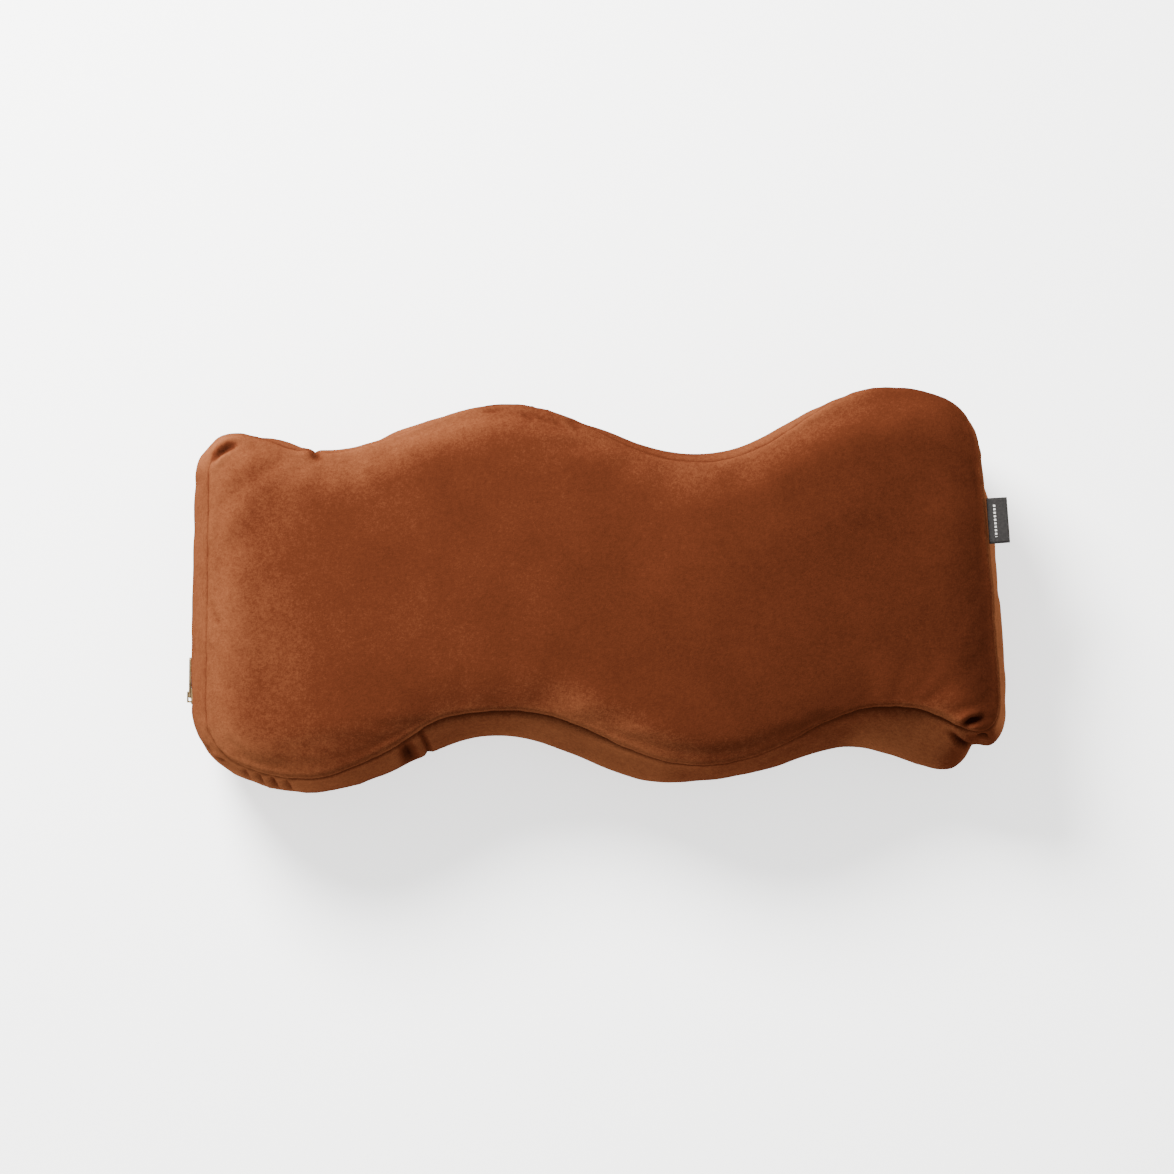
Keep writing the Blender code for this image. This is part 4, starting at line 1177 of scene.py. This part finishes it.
def surface_x(tree, y, z):
    """Where the left end's cloth lies."""
    hit = tree.ray_cast(Vector((-0.4, y, z)), Vector((1, 0, 0)))[0]
    return hit.x if hit else TAPE_LOW.x


def rounded_node(node, name, rounding, segments=2):
    """A CAD node's shape with its edges rounded."""
    solid = bmesh.new()
    solid.from_mesh(frame["nodes"][node].data)
    bmesh.ops.remove_doubles(solid, verts=solid.verts, dist=0.000002)
    bmesh.ops.dissolve_limit(solid, angle_limit=math.radians(4), verts=solid.verts, edges=solid.edges)
    thing = new_piece(name, solid)
    modifier = thing.modifiers.new("rounding", "BEVEL")
    modifier.width = rounding
    modifier.segments = segments
    modifier.limit_method = "ANGLE"
    modifier.angle_limit = math.radians(35)
    for face in thing.data.polygons:
        face.use_smooth = True
    flat = thing.modifiers.new("even shading", "WEIGHTED_NORMAL")
    flat.keep_sharp = True
    return thing


def build_slider():
    """The slider and the tab that pulls it."""
    brass = brass_paint()
    finish_piece(rounded_node("zip_slider", "zip_slider_cast", 0.00028), brass, "slider",
                 ("zip_slider",))
    finish_piece(rounded_node("zip_pull_tab", "zip_tab_cast", 0.00028), brass, "pull_tab",
                 ("zip_pull_tab",))


# ---------------------------------------------------------------- label

def label_paint(start, along, out, length, reach):
    """Charcoal damask with plain woven bars of silver-grey along it."""
    paint = Paint("label", 0.62, Specular_IOR_Level=0.15)

    def measured(direction):
        made = paint.node("ShaderNodeVectorMath", operation="DOT_PRODUCT")
        shifted = paint.node("ShaderNodeVectorMath", operation="SUBTRACT")
        paint.link(paint.place.outputs["Object"], shifted.inputs[0])
        shifted.inputs[1].default_value = start
        paint.link(shifted.outputs["Vector"], made.inputs[0])
        made.inputs[1].default_value = direction
        return made.outputs["Value"]
    run = paint.math("DIVIDE", measured(along), length)
    across = paint.math("DIVIDE", measured(out), reach)
    inside = paint.math("LESS_THAN", paint.math("ABSOLUTE", paint.math("SUBTRACT", across, 0.36)), 0.055)
    ends = paint.math("LESS_THAN", paint.math("ABSOLUTE", paint.math("SUBTRACT", run, 0.5)), 0.36)
    dash = paint.math("GREATER_THAN", paint.math("FRACT", paint.math("MULTIPLY", run, 13.0)), 0.42)
    bars = paint.math("MULTIPLY", paint.math("MULTIPLY", inside, ends), dash)
    cloud = paint.ramp(paint.noise(900.0, 2.0), (0.3, (0.009, 0.008, 0.0075)), (0.7, (0.018, 0.016, 0.015)))
    mix = paint.node("ShaderNodeMix", data_type="RGBA")
    paint.link(bars, mix.inputs["Factor"])
    paint.link(cloud, mix.inputs[6])
    mix.inputs[7].default_value = (0.42, 0.41, 0.39, 1.0)
    paint.colour(mix.outputs[2])
    weave = paint.node("ShaderNodeTexWave", wave_type="BANDS", bands_direction="Y")
    weave.inputs["Scale"].default_value = 620.0
    paint.link(paint.place.outputs["Object"], weave.inputs["Vector"])
    paint.bump(weave.outputs["Fac"], 0.00012, 0.6)
    paint.bump(bars, 0.00015, 0.8)
    return paint.material


def build_label():
    """A ribbon folded over, its two ends sewn into the top seam."""
    joint = next(item for item in frame["joints"] if item["name"] == "label_flap")
    along = Vector(joint["axis"]).normalized()
    out = Vector((along.y, -along.x, 0.0))
    root = Vector(joint["pos"] if "pos" in joint else joint["pos_m"])
    length, reach = 0.0270, 0.0118
    gap, ply = 0.00085, 0.00042
    path = [(0.0, -gap / 2)]
    path += [(reach * k / 10, -gap / 2 - 0.0001 * math.sin(math.pi * k / 10)) for k in range(1, 10)]
    for k in range(9):
        angle = -math.pi / 2 + math.pi * k / 8
        path.append((reach - gap / 2 + 0.6 * gap * math.cos(angle), 0.5 * gap * math.sin(angle)))
    path += [(reach * k / 10, gap / 2 + 0.0002 * math.sin(math.pi * k / 10)) for k in range(9, -1, -1)]
    strip = bmesh.new()
    steps = 18
    bmesh.ops.create_grid(strip, x_segments=len(path) - 1, y_segments=steps, size=1.0)
    for vert in strip.verts:
        column = round((vert.co.x + 1) / 2 * (len(path) - 1))
        share = (vert.co.y + 1) / 2
        a, b = path[column]
        curl = 0.0007 * (a / reach) ** 2 * math.sin(2.2 * share + 0.6)
        vert.co = root + along * length * (share - 0.5) + out * a + Vector((0, 0, b + curl))
    bmesh.ops.recalc_face_normals(strip, faces=strip.faces)
    for face in strip.faces:
        face.smooth = True
    thing = new_piece("side_label_ribbon", strip)
    modifier = thing.modifiers.new("ply", "SOLIDIFY")
    modifier.thickness = ply
    modifier.offset = 0.0
    start = root - along * length / 2
    finish_piece(thing, label_paint(start, along, out, length, reach), "label", ("side_label",))


# ---------------------------------------------------------------- stage

def build_stage(stage):
    """Floor, soft light and camera."""
    scene = bpy.context.scene
    bpy.ops.mesh.primitive_plane_add(size=12.0, location=(0, 0, -0.0002))
    floor = bpy.context.object
    floor.name = "studio_floor"
    paint = Paint("studio_floor", 0.9, Specular_IOR_Level=0.1)
    paint.colour(tuple(stage.floor))
    paint.shader.inputs["Emission Color"].default_value = (1.0, 1.0, 0.995, 1.0)
    paint.shader.inputs["Emission Strength"].default_value = 1.35
    floor.data.materials.append(paint.material)
    world = bpy.data.worlds.new("studio")
    world.use_nodes = True
    world.node_tree.nodes["Background"].inputs["Color"].default_value = (1.0, 1.0, 1.0, 1.0)
    world.node_tree.nodes["Background"].inputs["Strength"].default_value = 1.0
    scene.world = world
    middle = Vector((0, 0, 0.05))
    for name, place, size, power in (
            ("key", (-0.75, 1.05, 1.25), 0.8, 160.0),
            ("fill", (0.6, -0.6, 2.2), 1.8, 8.0)):
        lamp = bpy.data.lights.new(name, "AREA")
        lamp.shape = "DISK"
        lamp.size = size
        lamp.energy = power
        holder = bpy.data.objects.new(name, lamp)
        scene.collection.objects.link(holder)
        holder.location = place
        holder.rotation_euler = (middle - holder.location).to_track_quat("-Z", "Y").to_euler()
    camera = bpy.data.objects.new("camera", bpy.data.cameras.new("camera"))
    scene.collection.objects.link(camera)
    camera.data.sensor_width = 36.0
    camera.data.lens = 36.0 * stage.distance / stage.field
    camera.data.clip_end = 50.0
    aim = Vector((-0.0075, 0.0048, 0.05))
    camera.rotation_euler = (stage.tilt, 0.0, 0.0)
    camera.location = aim + Matrix.Rotation(stage.tilt, 3, "X") @ Vector((0, 0, stage.distance))
    scene.camera = camera


# ---------------------------------------------------------------- operators

def must_have(*names):
    """Raises an error unless these objects are there."""
    missing = [name for name in names if name not in bpy.data.objects]
    if missing:
        raise RuntimeError("not built: " + ", ".join(missing))


class PILLOW_OT_form(bpy.types.Operator):
    """Cut the pattern's form and fill it with air"""
    bl_idname = "pillow.form"
    bl_label = "Fill Cover Form"

    def execute(self, context):
        form = CoverForm(Pattern(context.scene.pillow_sizes))
        filled(form, context.scene.pillow_cloth)
        BUILT["form"] = form
        must_have("cover_form")
        return {"FINISHED"}


class PILLOW_OT_inside(bpy.types.Operator):
    """Build the foam block and its cotton liner"""
    bl_idname = "pillow.inside"
    bl_label = "Build Foam And Liner"

    def execute(self, context):
        must_have("cover_form")
        build_inside(BUILT["form"])
        must_have("foam_block", "liner_top_cloth", "liner_bottom_cloth", "liner_side_cloth")
        return {"FINISHED"}


class PILLOW_OT_cover(bpy.types.Operator):
    """Sew the five velvet cloths of the cover"""
    bl_idname = "pillow.cover"
    bl_label = "Build Velvet Cover"

    def execute(self, context):
        must_have("cover_form")
        BUILT["skin"] = build_cover(BUILT["form"], context.scene.pillow_cloth)
        must_have(*(name for name, _, _ in COVER_PIECES))
        return {"FINISHED"}


class PILLOW_OT_zip(bpy.types.Operator):
    """Build the zip's tapes, coils, stops and stitches"""
    bl_idname = "pillow.zip"
    bl_label = "Build Zip"

    def execute(self, context):
        build_zip(BUILT["skin"])
        must_have("zip_coil_upper", "zip_coil_lower", "zip_stitches")
        return {"FINISHED"}


class PILLOW_OT_slider(bpy.types.Operator):
    """Build the zip's slider and pull tab"""
    bl_idname = "pillow.slider"
    bl_label = "Build Slider And Tab"

    def execute(self, context):
        build_slider()
        must_have("zip_slider_cast", "zip_tab_cast")
        return {"FINISHED"}


class PILLOW_OT_label(bpy.types.Operator):
    """Fold the ribbon label into the end of the top seam"""
    bl_idname = "pillow.label"
    bl_label = "Build Side Label"

    def execute(self, context):
        build_label()
        must_have("side_label_ribbon")
        return {"FINISHED"}


class PILLOW_OT_stage(bpy.types.Operator):
    """Set up the floor, the light and the camera"""
    bl_idname = "pillow.stage"
    bl_label = "Set Up Studio"

    def execute(self, context):
        build_stage(context.scene.pillow_stage)
        must_have("studio_floor", "camera")
        return {"FINISHED"}


OPERATORS = (PILLOW_OT_form, PILLOW_OT_inside, PILLOW_OT_cover, PILLOW_OT_zip,
             PILLOW_OT_slider, PILLOW_OT_label, PILLOW_OT_stage)
SETTINGS = (("pillow_sizes", PillowSizes), ("pillow_cloth", PillowCloth), ("pillow_stage", PillowStage))
BUILT = {}


class VIEW3D_PT_pillow(bpy.types.Panel):
    """Settings and build steps of the camp pillow"""
    bl_idname = "VIEW3D_PT_pillow"
    bl_label = "Camp Pillow"
    bl_space_type = "VIEW_3D"
    bl_region_type = "UI"
    bl_category = "Camp Pillow"

    def draw(self, context):
        for name, kind in SETTINGS:
            settings = getattr(context.scene, name)
            box = self.layout.box()
            for key in kind.__annotations__:
                box.prop(settings, key)
        for operator in OPERATORS:
            self.layout.operator(operator.bl_idname)


def register():
    for name, kind in SETTINGS:
        bpy.utils.register_class(kind)
        setattr(bpy.types.Scene, name, bpy.props.PointerProperty(type=kind))
    for kind in (*OPERATORS, VIEW3D_PT_pillow):
        bpy.utils.register_class(kind)


def unregister():
    for kind in (VIEW3D_PT_pillow, *reversed(OPERATORS)):
        bpy.utils.unregister_class(kind)
    for name, kind in reversed(SETTINGS):
        delattr(bpy.types.Scene, name)
        bpy.utils.unregister_class(kind)


def main():
    """Builds everything in order."""
    register()
    for operator in OPERATORS:
        group, name = operator.bl_idname.split(".")
        getattr(getattr(bpy.ops, group), name)()


if __name__ == "__main__":
    main()
